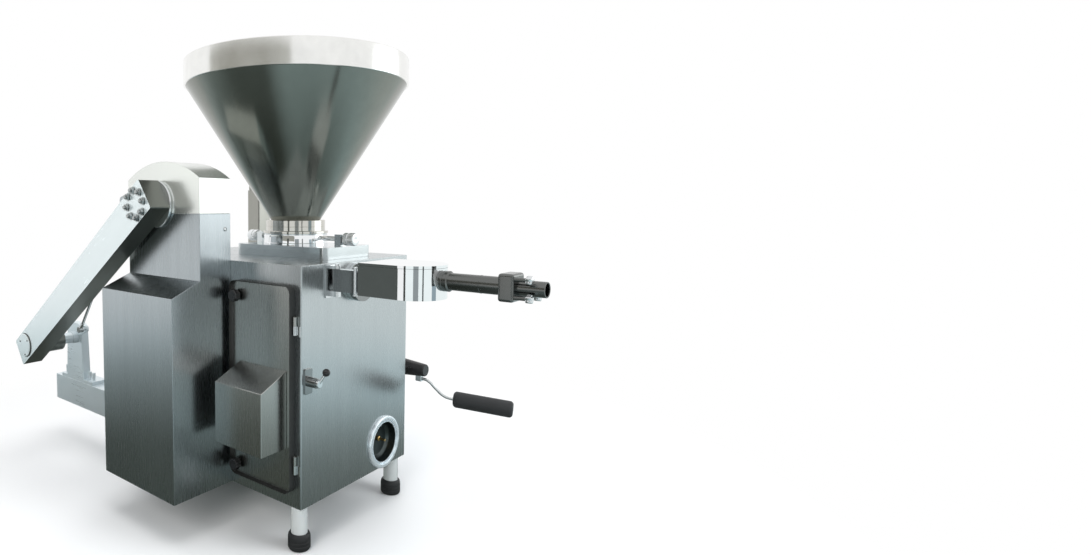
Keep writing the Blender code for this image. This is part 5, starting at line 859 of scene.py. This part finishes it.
# Strut
# Telescopic strut that keeps the fork level, hung on a gusset welded to the column: a drawn tube with a
# bright rod in it, an eye at each end and a dark collar where the rod comes out.
STRUT_TOP = Vector((-0.617, -0.020, 1.386))
STRUT_LOW = Vector((-1.107, -0.020, 0.682))
STRUT_COLLAR_REACH = 0.590
STRUT_COLLAR_RADIUS = 0.0150
STRUT_COLLAR_BORE = 0.0116
STRUT_COLLAR_LENGTH = 0.024
strut_steel = steel("strut steel", (0.58, 0.60, 0.60), 0.20, "none")
finish_piece(dressed("gusset", "strut_bracket", 0.002, 2), column_steel, "machine", "brushed_steel",
             "strut_bracket")
finish_piece(dressed("strut_outer", "strut_tube", 0.001, 2), strut_steel, "strut", "brushed_steel",
             "strut_tube")
finish_piece(dressed("strut_inner", "strut_rod", 0.001, 2), bright_steel, "strut_slider", "polished_steel",
             "strut_rod")
strut_line = (STRUT_LOW - STRUT_TOP).normalized()
collar_profile = [(STRUT_COLLAR_BORE, 0), (STRUT_COLLAR_RADIUS, 0.001),
                  (STRUT_COLLAR_RADIUS, STRUT_COLLAR_LENGTH - 0.004),
                  (STRUT_COLLAR_RADIUS - 0.001, STRUT_COLLAR_LENGTH - 0.0015),
                  (STRUT_COLLAR_BORE, STRUT_COLLAR_LENGTH), (STRUT_COLLAR_BORE, 0)]
collar_place = STRUT_TOP + strut_line * STRUT_COLLAR_REACH
finish_piece(lathe("strut_collar", collar_profile, collar_place, strut_line, 48), dark_steel, "strut",
             "brushed_steel")

# Door
# Service door of brushed sheet with pressed edges and a sloped tool cover, on two barrel hinges, with a
# rubber seal behind its edge. Two fluted plastic knobs hold it shut.
DOOR_LOW = (0.130, 0.245)
DOOR_HIGH = (0.465, 1.060)
SEAL_PROUD = 0.0015
SEAL_FRONT = -0.0045
SEAL_BACK = -0.0004
SEAL_CORNER = 0.0315
door_steel = steel("door steel", (0.46, 0.465, 0.445), 0.27, "Z")
finish_piece(dressed("front_door", "service_door", 0.002), door_steel, "door", "brushed_steel",
             "service_door")
finish_piece(dressed("tool_cover", "door_cover", 0.0025), door_steel, "door", "brushed_steel", "door_cover")
seal = round_plate("door_seal", (DOOR_LOW[0] - SEAL_PROUD, SEAL_FRONT, DOOR_LOW[1] - SEAL_PROUD),
                   (DOOR_HIGH[0] + SEAL_PROUD, SEAL_BACK, DOOR_HIGH[1] + SEAL_PROUD), SEAL_CORNER)
finish_piece(seal, joint_black, "door", "black_rubber")
knob_plastic = plastic("knob plastic", (0.012, 0.012, 0.013), 0.30)


def fluted(piece, centre, axis, inner, flutes, depth):
    """Presses flutes into a turned piece beyond a radius from its axis."""
    middle = at(*centre)
    line = Vector(axis)
    side = line.orthogonal().normalized()
    across = line.cross(side)
    for vertex in piece.data.vertices:
        out = vertex.co - middle
        along = line * out.dot(line)
        reach = out - along
        if reach.length < inner:
            continue
        angle = math.atan2(reach.dot(across), reach.dot(side))
        vertex.co = middle + along + reach * (1 - depth * (0.5 + 0.5 * math.cos(flutes * angle)))
    return piece


KNOB_X = 0.165
KNOB_BASE = -0.0143
KNOB_HEIGHTS = {"lower": 0.290, "upper": 1.000}
KNOB_RADIUS = 0.0260
KNOB_CORE = 0.020
KNOB_FLUTES = 8
KNOB_FLUTE_DEPTH = 0.12
knob_profile = [(0, 0), (0.012, 0), (0.012, 0.006), (0.0235, 0.0085), (0.0255, 0.0105), (KNOB_RADIUS, 0.013),
                (KNOB_RADIUS, 0.030), (0.0250, 0.0335), (0.0225, 0.0355), (0.0190, 0.0360), (0.0120, 0.0350),
                (0, 0.0345)]
for end, knob_z in KNOB_HEIGHTS.items():
    finish_piece(dressed(f"barrel_hinge_{end}", f"door_hinge_{end}", 0.0005, 2), bright_steel, "machine",
                 "brushed_steel", f"door_hinge_{end}")
    knob_place = (KNOB_X, KNOB_BASE, knob_z)
    knob = lathe(f"turn_knob_{end}", knob_profile, knob_place, (0, -1, 0), 96, 40)
    fluted(knob, knob_place, (0, -1, 0), KNOB_CORE, KNOB_FLUTES, KNOB_FLUTE_DEPTH)
    finish_piece(knob, knob_plastic, f"knob_{end}", "black_plastic", f"door_knob_{end}")

# Pump
# Cast and ground pump head on the deck, with a polished collar round its top. Its vane rotor and feed auger
# are bright steel. Gearbox, motor and vacuum pump hang and stand inside the cabinet, in grey enamel.
HOPPER_AXIS = (0.098, 0.419)
PUMP_COLLAR_LOW = 1.1900
PUMP_COLLAR_HIGH = 1.2345
PUMP_COLLAR_BORE = 0.1480
PUMP_COLLAR_RADIUS = 0.1488
PUMP_COLLAR_FOOT = 0.1510
pump_steel = steel("pump head steel", (0.66, 0.70, 0.71), 0.16, "none")
mirror_steel = steel("mirror steel", (0.86, 0.88, 0.89), 0.05, "none", streak=0.02, cloud=0.01,
                     bump=0.006)
finish_piece(dressed("pump_head", "pump_housing", 0.0025), pump_steel, "machine", "brushed_steel",
             "pump_housing")
sleeve_profile = [(PUMP_COLLAR_BORE, PUMP_COLLAR_LOW), (PUMP_COLLAR_FOOT, PUMP_COLLAR_LOW),
                  (PUMP_COLLAR_FOOT, PUMP_COLLAR_LOW + 0.008), (PUMP_COLLAR_RADIUS, PUMP_COLLAR_LOW + 0.010),
                  (PUMP_COLLAR_RADIUS, PUMP_COLLAR_HIGH - 0.0015), (PUMP_COLLAR_BORE, PUMP_COLLAR_HIGH),
                  (PUMP_COLLAR_BORE, PUMP_COLLAR_LOW)]
finish_piece(lathe("pump_collar", sleeve_profile, (*HOPPER_AXIS, 0), (0, 0, 1), 128), mirror_steel, "machine",
             "polished_steel")
finish_piece(dressed("vane_rotor", "pump_rotor", 0.001, 2), bright_steel, "pump", "polished_steel",
             "pump_rotor")
finish_piece(dressed("auger", "feed_auger", 0.001, 2), bright_steel, "pump", "polished_steel", "feed_auger")
finish_piece(dressed("gearbox", "pump_gearbox", 0.002, 2), grey_enamel, "machine", "painted_casting",
             "pump_gearbox")
finish_piece(dressed("motor", "drive_motor", 0.002, 2), grey_enamel, "machine", "painted_casting",
             "drive_motor")
finish_piece(dressed("suction_pump", "vacuum_pump", 0.002, 2), grey_enamel, "machine", "painted_casting",
             "vacuum_pump")

# Hopper
# Cone spun from sheet, with a rolled band round its rim. It is welded to a turned collar, which two knurled
# screws clamp on the pump head.
RIM_RADIUS = 0.5115
RIM_TOP = 2.011
RIM_ROLL = 0.004
RIM_STEPS = 8
BAND_FOOT = 1.904
BAND_SHEET = 0.008
CONE_FOOT = (0.116, 1.3026)
CONE_SHEET = 0.003
CONE_ROWS = 12
GRIND_SHARE = 0.8
GRIND_TURN = 0.25


def spun_steel(name, colour, roughness):
    """Spun sheet whose grinding lines run round it, so that it shines along lines up and down the cone."""
    look = steel(name, colour, roughness, "none", streak=0.03, cloud=0.03)
    tree = look.node_tree
    shader = tree.nodes["Principled BSDF"]
    round_it = tree.nodes.new("ShaderNodeTangent")
    round_it.direction_type = "RADIAL"
    round_it.axis = "Z"
    shader.inputs["Anisotropic"].default_value = GRIND_SHARE
    shader.inputs["Anisotropic Rotation"].default_value = GRIND_TURN
    link(tree, round_it.outputs[0], shader.inputs["Tangent"])
    return look


# Painted shade: the cone's steel is painted far darker than the band's, standing in for the dark floor near
# the machine that the cone reflects.
shaded_cone_steel = spun_steel("cone steel with painted shade", (0.215, 0.228, 0.205), 0.17)
band_steel = spun_steel("band steel", (0.86, 0.86, 0.84), 0.22)
cone_top = (RIM_RADIUS - BAND_SHEET, BAND_FOOT)
cone_profile = [(CONE_FOOT[0] - CONE_SHEET, CONE_FOOT[1]), CONE_FOOT]
for row in range(1, CONE_ROWS + 1):
    share = row / CONE_ROWS
    cone_profile.append((CONE_FOOT[0] + (cone_top[0] - CONE_FOOT[0]) * share,
                         CONE_FOOT[1] + (cone_top[1] - CONE_FOOT[1]) * share))
cone_profile += [(cone_top[0] - CONE_SHEET, cone_top[1] + CONE_SHEET),
                 (CONE_FOOT[0] - CONE_SHEET, CONE_FOOT[1])]
cone = lathe("cone_hopper", cone_profile, (*HOPPER_AXIS, 0), (0, 0, 1), 160)
finish_piece(cone, shaded_cone_steel, "machine", "brushed_steel", "hopper")
band_low = BAND_FOOT - 0.0005
band_profile = [(RIM_RADIUS - BAND_SHEET, band_low), (RIM_RADIUS - 0.0015, band_low),
                (RIM_RADIUS, BAND_FOOT + 0.001), (RIM_RADIUS, BAND_FOOT + 0.050),
                (RIM_RADIUS, RIM_TOP - RIM_ROLL)]
for step in range(1, RIM_STEPS + 1):
    angle = math.pi * step / RIM_STEPS
    band_profile.append((RIM_RADIUS - RIM_ROLL + RIM_ROLL * math.cos(angle),
                         RIM_TOP - RIM_ROLL + RIM_ROLL * math.sin(angle)))
band_profile += [(RIM_RADIUS - BAND_SHEET, BAND_FOOT + 0.004), (RIM_RADIUS - 0.011, BAND_FOOT),
                 (RIM_RADIUS - BAND_SHEET, band_low)]
band = lathe("rim_band", band_profile, (*HOPPER_AXIS, 0), (0, 0, 1), 160)
finish_piece(band, band_steel, "machine", "brushed_steel")
NECK_FOOT = 1.2403
NECK_BORE = 0.1130
NECK_RADIUS = 0.1380
NECK_FLANGE = 0.1520
collar_steel = steel("collar steel", (0.60, 0.59, 0.55), 0.10, "none")
neck_profile = [(NECK_BORE, NECK_FOOT), (NECK_FLANGE - 0.002, NECK_FOOT), (NECK_FLANGE, NECK_FOOT + 0.0015),
                (NECK_FLANGE, NECK_FOOT + 0.0105), (NECK_FLANGE - 0.0012, NECK_FOOT + 0.0120),
                (NECK_RADIUS + 0.0008, NECK_FOOT + 0.0120), (NECK_RADIUS, NECK_FOOT + 0.0128),
                (NECK_RADIUS, NECK_FOOT + 0.0300), (NECK_RADIUS - 0.0008, NECK_FOOT + 0.0308),
                (NECK_RADIUS - 0.0008, NECK_FOOT + 0.0322), (NECK_RADIUS, NECK_FOOT + 0.0330),
                (NECK_RADIUS, NECK_FOOT + 0.0590), (NECK_RADIUS - 0.003, NECK_FOOT + 0.0616),
                (NECK_BORE, NECK_FOOT + 0.0620), (NECK_BORE, NECK_FOOT)]
finish_piece(lathe("neck_collar", neck_profile, (*HOPPER_AXIS, 0), (0, 0, 1), 128), collar_steel, "machine",
             "polished_steel", "hopper_neck")
CLAMP_Z = 1.221
CLAMP_RADIUS = 0.0280
CLAMP_CORE = 0.024
CLAMP_KNURLS = 32
CLAMP_KNURL_DEPTH = 0.05
CLAMP_SCREW_RADIUS = 0.0110
clamp_profile = [(0, 0.0005), (0.0196, 0), (0.0255, 0.004), (CLAMP_RADIUS, 0.0075), (CLAMP_RADIUS, 0.0275),
                 (0.0262, 0.0290), (0.0262, 0.0320), (CLAMP_RADIUS, 0.0335), (CLAMP_RADIUS, 0.0565),
                 (0.0262, 0.0605), (0.0225, 0.0620), (0.0120, 0.0608), (0, 0.0605)]
for side, way, knob_start, tip in (("left", -1, -0.140, -0.0503), ("right", 1, 0.384, 0.2463)):
    knob_place = (knob_start, HOPPER_AXIS[1], CLAMP_Z)
    knob = lathe("knob", clamp_profile, knob_place, (way, 0, 0), 192, 40)
    fluted(knob, knob_place, (way, 0, 0), CLAMP_CORE, CLAMP_KNURLS, CLAMP_KNURL_DEPTH)
    reach = abs(knob_start - tip)
    screw_profile = [(0, 0), (CLAMP_SCREW_RADIUS - 0.0015, 0), (CLAMP_SCREW_RADIUS, 0.002),
                     (CLAMP_SCREW_RADIUS, reach), (0, reach)]
    screw = lathe("screw", screw_profile, (tip, HOPPER_AXIS[1], CLAMP_Z), (way, 0, 0), 32)
    finish_piece(joined(f"clamp_knob_{side}", knob, screw), mirror_steel, f"clamp_{side}", "polished_steel",
                 f"clamp_screw_{side}")

# Outlet
# Round-nosed head in mirror polish with a sealed lid, on an arm that swings out on its bracket's pin. The
# filling pipe in it is dark satin steel, and a holder with three star knobs clamps its end.
HEAD = (0.830, 0.256)
HEAD_RADIUS = 0.125
HEAD_LEFT = 0.6653
HEAD_LOW = 1.030
HEAD_HIGH = 1.154
LID_SHEET = 0.0100
LID_SEAM = 0.0010
NOSE_WELD_REACH = 0.0003
NOSE_SHARP = 40
PIPE_Z = 1.098
finish_piece(dressed("outlet_ring", "outlet_flange", 0.001, 2), mirror_steel, "machine", "polished_steel",
             "outlet_flange")
finish_piece(dressed("swing_plate", "swing_bracket", 0.001, 2), bright_steel, "machine", "brushed_steel",
             "swing_bracket")
block_steel = steel("hinge block steel", (0.30, 0.31, 0.31), 0.14, "none", streak=0.02, bump=0.006)
finish_piece(dressed("swing_arm", "outlet_arm", 0.003), block_steel, "outlet", "satin_dark_steel",
             "outlet_arm")


def round_nose(name, low, high, inset, edge):
    """A block with a half-round end, cut level at two heights, with its edges rounded over."""
    middle = at(*HEAD, (low + high) / 2)
    radius = HEAD_RADIUS - inset
    deselect()
    bpy.ops.mesh.primitive_cylinder_add(vertices=128, radius=radius, depth=high - low, location=middle)
    piece = bpy.context.object
    piece.name = name
    left = HEAD_LEFT + inset
    heel = block("heel", (left, HEAD[1] - radius, low), (HEAD[0], HEAD[1] + radius, high), 0.0001, 1)
    union = piece.modifiers.new("union", "BOOLEAN")
    union.operation = "UNION"
    union.object = heel
    select(piece)
    bpy.ops.object.modifier_apply(modifier=union.name)
    bpy.data.objects.remove(heel, do_unlink=True)
    bpy.ops.object.transform_apply(location=True, rotation=True, scale=True)
    bpy.ops.object.mode_set(mode="EDIT")
    bpy.ops.mesh.select_all(action="SELECT")
    bpy.ops.mesh.remove_doubles(threshold=NOSE_WELD_REACH)
    bpy.ops.mesh.dissolve_limited(angle_limit=math.radians(1))
    bpy.ops.object.mode_set(mode="OBJECT")
    bevel = piece.modifiers.new("edges", "BEVEL")
    bevel.width = edge
    bevel.segments = 3
    bevel.limit_method = "ANGLE"
    bevel.angle_limit = math.radians(NOSE_SHARP)
    bpy.ops.object.modifier_apply(modifier=bevel.name)
    return smoothed(piece)


lid_low = HEAD_HIGH - LID_SHEET
finish_piece(round_nose("round_nose", HEAD_LOW, lid_low - LID_SEAM, 0, 0.003), mirror_steel, "outlet",
             "polished_steel", "outlet_head")
finish_piece(round_nose("nose_lid", lid_low, HEAD_HIGH, 0, 0.002), mirror_steel, "outlet", "polished_steel")
lid_seal = round_nose("nose_lid_seal", lid_low - LID_SEAM * 2, lid_low + LID_SEAM, 0.0015, 0.0005)
finish_piece(lid_seal, joint_black, "outlet", "black_rubber")
NOSE_PIN = (0.648, 0.141)
NOSE_PIN_RADIUS = 0.0070
NOSE_PIN_HEAD = 0.0095
hinge_pin = [(0, 1.0240), (NOSE_PIN_HEAD - 0.001, 1.0240), (NOSE_PIN_HEAD, 1.0250), (NOSE_PIN_HEAD, 1.0290),
             (NOSE_PIN_RADIUS, 1.0295), (NOSE_PIN_RADIUS, 1.1300), (NOSE_PIN_HEAD, 1.1305),
             (NOSE_PIN_HEAD, 1.1345), (NOSE_PIN_HEAD - 0.001, 1.1355), (0, 1.1355)]
finish_piece(lathe("nose_pin", hinge_pin, (*NOSE_PIN, 0), (0, 0, 1), 32), bright_steel, "outlet",
             "polished_steel")

PIPE_START = 0.8703
PIPE_END = 1.1725
PIPE_BORE = 0.0220
PIPE_RADIUS = 0.0310
SLEEVE_RADIUS = 0.0360
SLEEVE_RING = 0.0372
pipe_profile = [(PIPE_BORE, PIPE_START), (SLEEVE_RADIUS, PIPE_START), (SLEEVE_RADIUS, 0.9500),
                (SLEEVE_RING, 0.9508), (SLEEVE_RING, 0.9600), (0.0362, 0.9608), (0.0362, 0.9660),
                (SLEEVE_RING, 0.9668), (SLEEVE_RING, 0.9790), (SLEEVE_RADIUS, 0.9800), (PIPE_RADIUS, 0.9830),
                (PIPE_RADIUS, 1.0950), (0.0318, 1.0956), (0.0318, 1.0990), (PIPE_RADIUS, 1.0996),
                (PIPE_RADIUS, PIPE_END), (PIPE_BORE, PIPE_END), (PIPE_BORE, PIPE_START)]
finish_piece(lathe("pipe_tube", pipe_profile, (0, HEAD[1], PIPE_Z), (1, 0, 0), 96), dark_steel, "pipe",
             "satin_dark_steel", "filling_pipe")
HOLDER_START = 1.173
HOLDER_END = 1.227
HOLDER_HALF = 0.047
HOLDER_EDGE = 0.010
SPOUT_START = 1.2200
SPOUT_END = 1.3200
SPOUT_RADIUS = 0.0264
holder_low = (HOLDER_START, HEAD[1] - HOLDER_HALF, PIPE_Z - HOLDER_HALF)
holder_high = (HOLDER_END, HEAD[1] + HOLDER_HALF, PIPE_Z + HOLDER_HALF)
spout_profile = [(PIPE_BORE, SPOUT_START), (SPOUT_RADIUS, SPOUT_START), (SPOUT_RADIUS, SPOUT_END - 0.0015),
                 (SPOUT_RADIUS - 0.0009, SPOUT_END), (PIPE_BORE + 0.0012, SPOUT_END),
                 (PIPE_BORE, SPOUT_END - 0.0015), (PIPE_BORE, SPOUT_START)]
holder_parts = [block("holder", holder_low, holder_high, HOLDER_EDGE, 4),
                lathe("spout", spout_profile, (0, HEAD[1], PIPE_Z), (1, 0, 0), 64)]
STAR_SIDE = 0.036
STAR_RISE = 0.030
STAR_RADIUS = 0.0155
STAR_CORE = 0.012
STAR_LOBES = 5
STAR_LOBE_DEPTH = 0.22
STAR_STUD_RADIUS = 0.0070
star_profile = [(0, 0.0380), (0.0080, 0.0380), (0.0135, 0.0395), (STAR_RADIUS, 0.0430), (STAR_RADIUS, 0.0550),
                (0.0135, 0.0590), (0.0090, 0.0600), (0, 0.0600)]
star_stud_profile = [(0, -0.001), (STAR_STUD_RADIUS, -0.001), (STAR_STUD_RADIUS, 0.0545),
                     (STAR_STUD_RADIUS - 0.001, 0.055), (0, 0.055)]
star_knobs = []
for side, rise in ((-1, 1), (1, -1), (-1, -1)):
    knob_place = (HOLDER_END, HEAD[1] + side * STAR_SIDE, PIPE_Z + rise * STAR_RISE)
    star = lathe("star", star_profile, knob_place, (1, 0, 0), 60, 40)
    star_knobs.append(fluted(star, knob_place, (1, 0, 0), STAR_CORE, STAR_LOBES, STAR_LOBE_DEPTH))
    holder_parts.append(lathe("stud", star_stud_profile, knob_place, (1, 0, 0), 24))
finish_piece(joined("pipe_clamp", *holder_parts), dark_steel, "pipe", "satin_dark_steel", "pipe_holder")
finish_piece(joined("star_knobs", *star_knobs), bright_steel, "pipe", "polished_steel")

# Side latch
# Ground plate and boss screwed on beside the door. Its bright lever turns on the boss and ends in a black
# plastic ball.
LATCH_HUB = (0.5503, 0.038, 0.690)
LATCH_BALL = (0.5803, 0.053, 0.735)
LATCH_HUB_RADIUS = 0.0160
LATCH_HUB_LENGTH = 0.0120
LATCH_STEM_RADIUS = 0.0050
BALL_RADIUS = 0.015
BALL_STEPS = 16
BALL_FOOT = 0.0125
finish_piece(dressed("latch_base", "latch_plate", 0.001, 2), block_steel, "machine", "brushed_steel",
             "latch_plate")
hub_profile = [(0, 0), (LATCH_HUB_RADIUS - 0.0015, 0), (LATCH_HUB_RADIUS, 0.0015),
               (LATCH_HUB_RADIUS, LATCH_HUB_LENGTH - 0.0015), (LATCH_HUB_RADIUS - 0.0015, LATCH_HUB_LENGTH),
               (0, LATCH_HUB_LENGTH)]
latch_hub = lathe("hub", hub_profile, LATCH_HUB, (1, 0, 0), 48)
stem_start = Vector(LATCH_HUB) + Vector((LATCH_HUB_LENGTH / 2, 0, 0))
latch_way = Vector(LATCH_BALL) - stem_start
stem_profile = [(0, 0), (LATCH_STEM_RADIUS, 0), (LATCH_STEM_RADIUS, latch_way.length), (0, latch_way.length)]
latch_stem = lathe("stem", stem_profile, stem_start, latch_way, 24)
finish_piece(joined("latch_arm", latch_hub, latch_stem), bright_steel, "latch", "polished_steel",
             "latch_lever")
ball_profile = [(0, -BALL_RADIUS), (0.006, -BALL_RADIUS), (0.0072, -0.0132)]
for step in range(BALL_STEPS + 1):
    angle = -math.pi / 2 + math.pi * step / BALL_STEPS
    if BALL_RADIUS * math.sin(angle) > -BALL_FOOT:
        ball_profile.append((max(BALL_RADIUS * math.cos(angle), 0), BALL_RADIUS * math.sin(angle)))
finish_piece(lathe("latch_ball", ball_profile, LATCH_BALL, latch_way, 48), knob_plastic, "latch",
             "black_plastic")

# Knee lever
# Sprung switch on a steel bracket at the back. Its moulded black cap carries a clamped, bent steel rod with
# a thick rubber pad on its end.
KNEE = Vector((0.420, 0.850, 0.580))
KNEE_CAP_LENGTH = 0.1300
KNEE_CAP_BORE = 0.0115
KNEE_ROD_RADIUS = 0.0070
KNEE_ROD_INTO_PAD = 0.020
PAD_START = Vector((0.671, 0.900, 0.455))
PAD_END = Vector((0.924, 0.980, 0.440))
PAD_RADIUS = 0.0375
PAD_BORE = 0.0078
PAD_BORE_DEPTH = 0.021
finish_piece(dressed("knee_plate", "knee_bracket", 0.001, 2), bright_steel, "machine", "brushed_steel",
             "knee_bracket")
cap_profile = [(KNEE_CAP_BORE, 0), (0.0385, 0), (0.0400, 0.0015), (0.0398, 0.006), (0.0375, 0.030),
               (0.0345, 0.065), (0.0315, 0.100), (0.0300, 0.118), (0.0290, KNEE_CAP_LENGTH - 0.0035),
               (0.0265, KNEE_CAP_LENGTH), (0, KNEE_CAP_LENGTH), (0, KNEE_CAP_LENGTH - 0.006),
               (KNEE_CAP_BORE, KNEE_CAP_LENGTH - 0.006), (KNEE_CAP_BORE, 0)]
finish_piece(lathe("knee_cap", cap_profile, KNEE, (1, 0, 0), 64), knob_plastic, "knee", "black_plastic",
             "knee_lever")
knee_line = (PAD_END - PAD_START).normalized()
knee_clamp = block("knee_clamp", KNEE + Vector((0.080, -0.012, -0.056)),
                   KNEE + Vector((0.110, 0.012, -0.026)), 0.002)
knee_bends = [(0.082, 0, -0.042), (0.115, 0, -0.043), (0.140, 0.001, -0.047), (0.175, 0.020, -0.085),
              (0.205, 0.034, -0.114)]
knee_route = [KNEE + Vector(bend) for bend in knee_bends]
knee_route += [PAD_START - knee_line * KNEE_ROD_INTO_PAD, PAD_START + knee_line * KNEE_ROD_INTO_PAD]
knee_rod = round_line("knee_rod", knee_route, KNEE_ROD_RADIUS)


def as_mesh(line, sharp):
    """Makes a round line a smooth mesh, so that it can be joined to other shapes."""
    select(line)
    bpy.ops.object.convert(target="MESH")
    bpy.ops.object.shade_smooth_by_angle(angle=math.radians(sharp))


as_mesh(knee_rod, 40)
finish_piece(joined("knee_bar", knee_rod, knee_clamp), bright_steel, "knee", "polished_steel")
pad_length = (PAD_END - PAD_START).length
pad_end = [(PAD_RADIUS - 0.0100, 0), (PAD_RADIUS - 0.0045, 0.0035), (PAD_RADIUS - 0.0007, 0.0090),
           (PAD_RADIUS, 0.0150)]
pad_profile = [(PAD_BORE, 0)] + pad_end
pad_profile += [(radius, pad_length - inset) for radius, inset in reversed(pad_end)]
pad_profile += [(0, pad_length), (0, PAD_BORE_DEPTH), (PAD_BORE, PAD_BORE_DEPTH), (PAD_BORE, 0)]
finish_piece(lathe("knee_grip", pad_profile, PAD_START, knee_line, 64, 40), foot_rubber, "knee",
             "black_rubber", "knee_pad")

# Control box
# Folded and welded sheet box on a hollow post at the rear. Its dark glass screen is set into the side that
# faces the operator.
box_steel = steel("control box steel", (0.36, 0.36, 0.33), 0.30, "Z")
finish_piece(dressed("control_case", "control_box", 0.003), box_steel, "machine", "brushed_steel",
             "control_box")
screen_glass = plastic("screen glass", (0.015, 0.02, 0.025), 0.12, grain_scale=20, bump=0)
finish_piece(dressed("display", "control_screen", 0.001, 2), screen_glass, "machine", "screen_glass",
             "control_screen")

# Lead and plug
# The lead, the plug and its tapered relief are black rubber, the screwed gland is plastic, and the plug's
# pins are turned brass.
cord_rubber = plastic("cord rubber", (0.018, 0.018, 0.02), 0.48)
finish_piece(dressed("gland", "cord_gland", 0.001, 2), knob_plastic, "machine", "black_plastic", "cord_gland")
as_mesh(relief, 50)
finish_piece(joined("plug_body", plug, relief), cord_rubber, "machine", "black_rubber", "cord_plug")
finish_piece(plug_contacts, brass, "machine", "brass")
finish_piece(lead, cord_rubber, "machine", "black_rubber", "cord", "cord_coil")
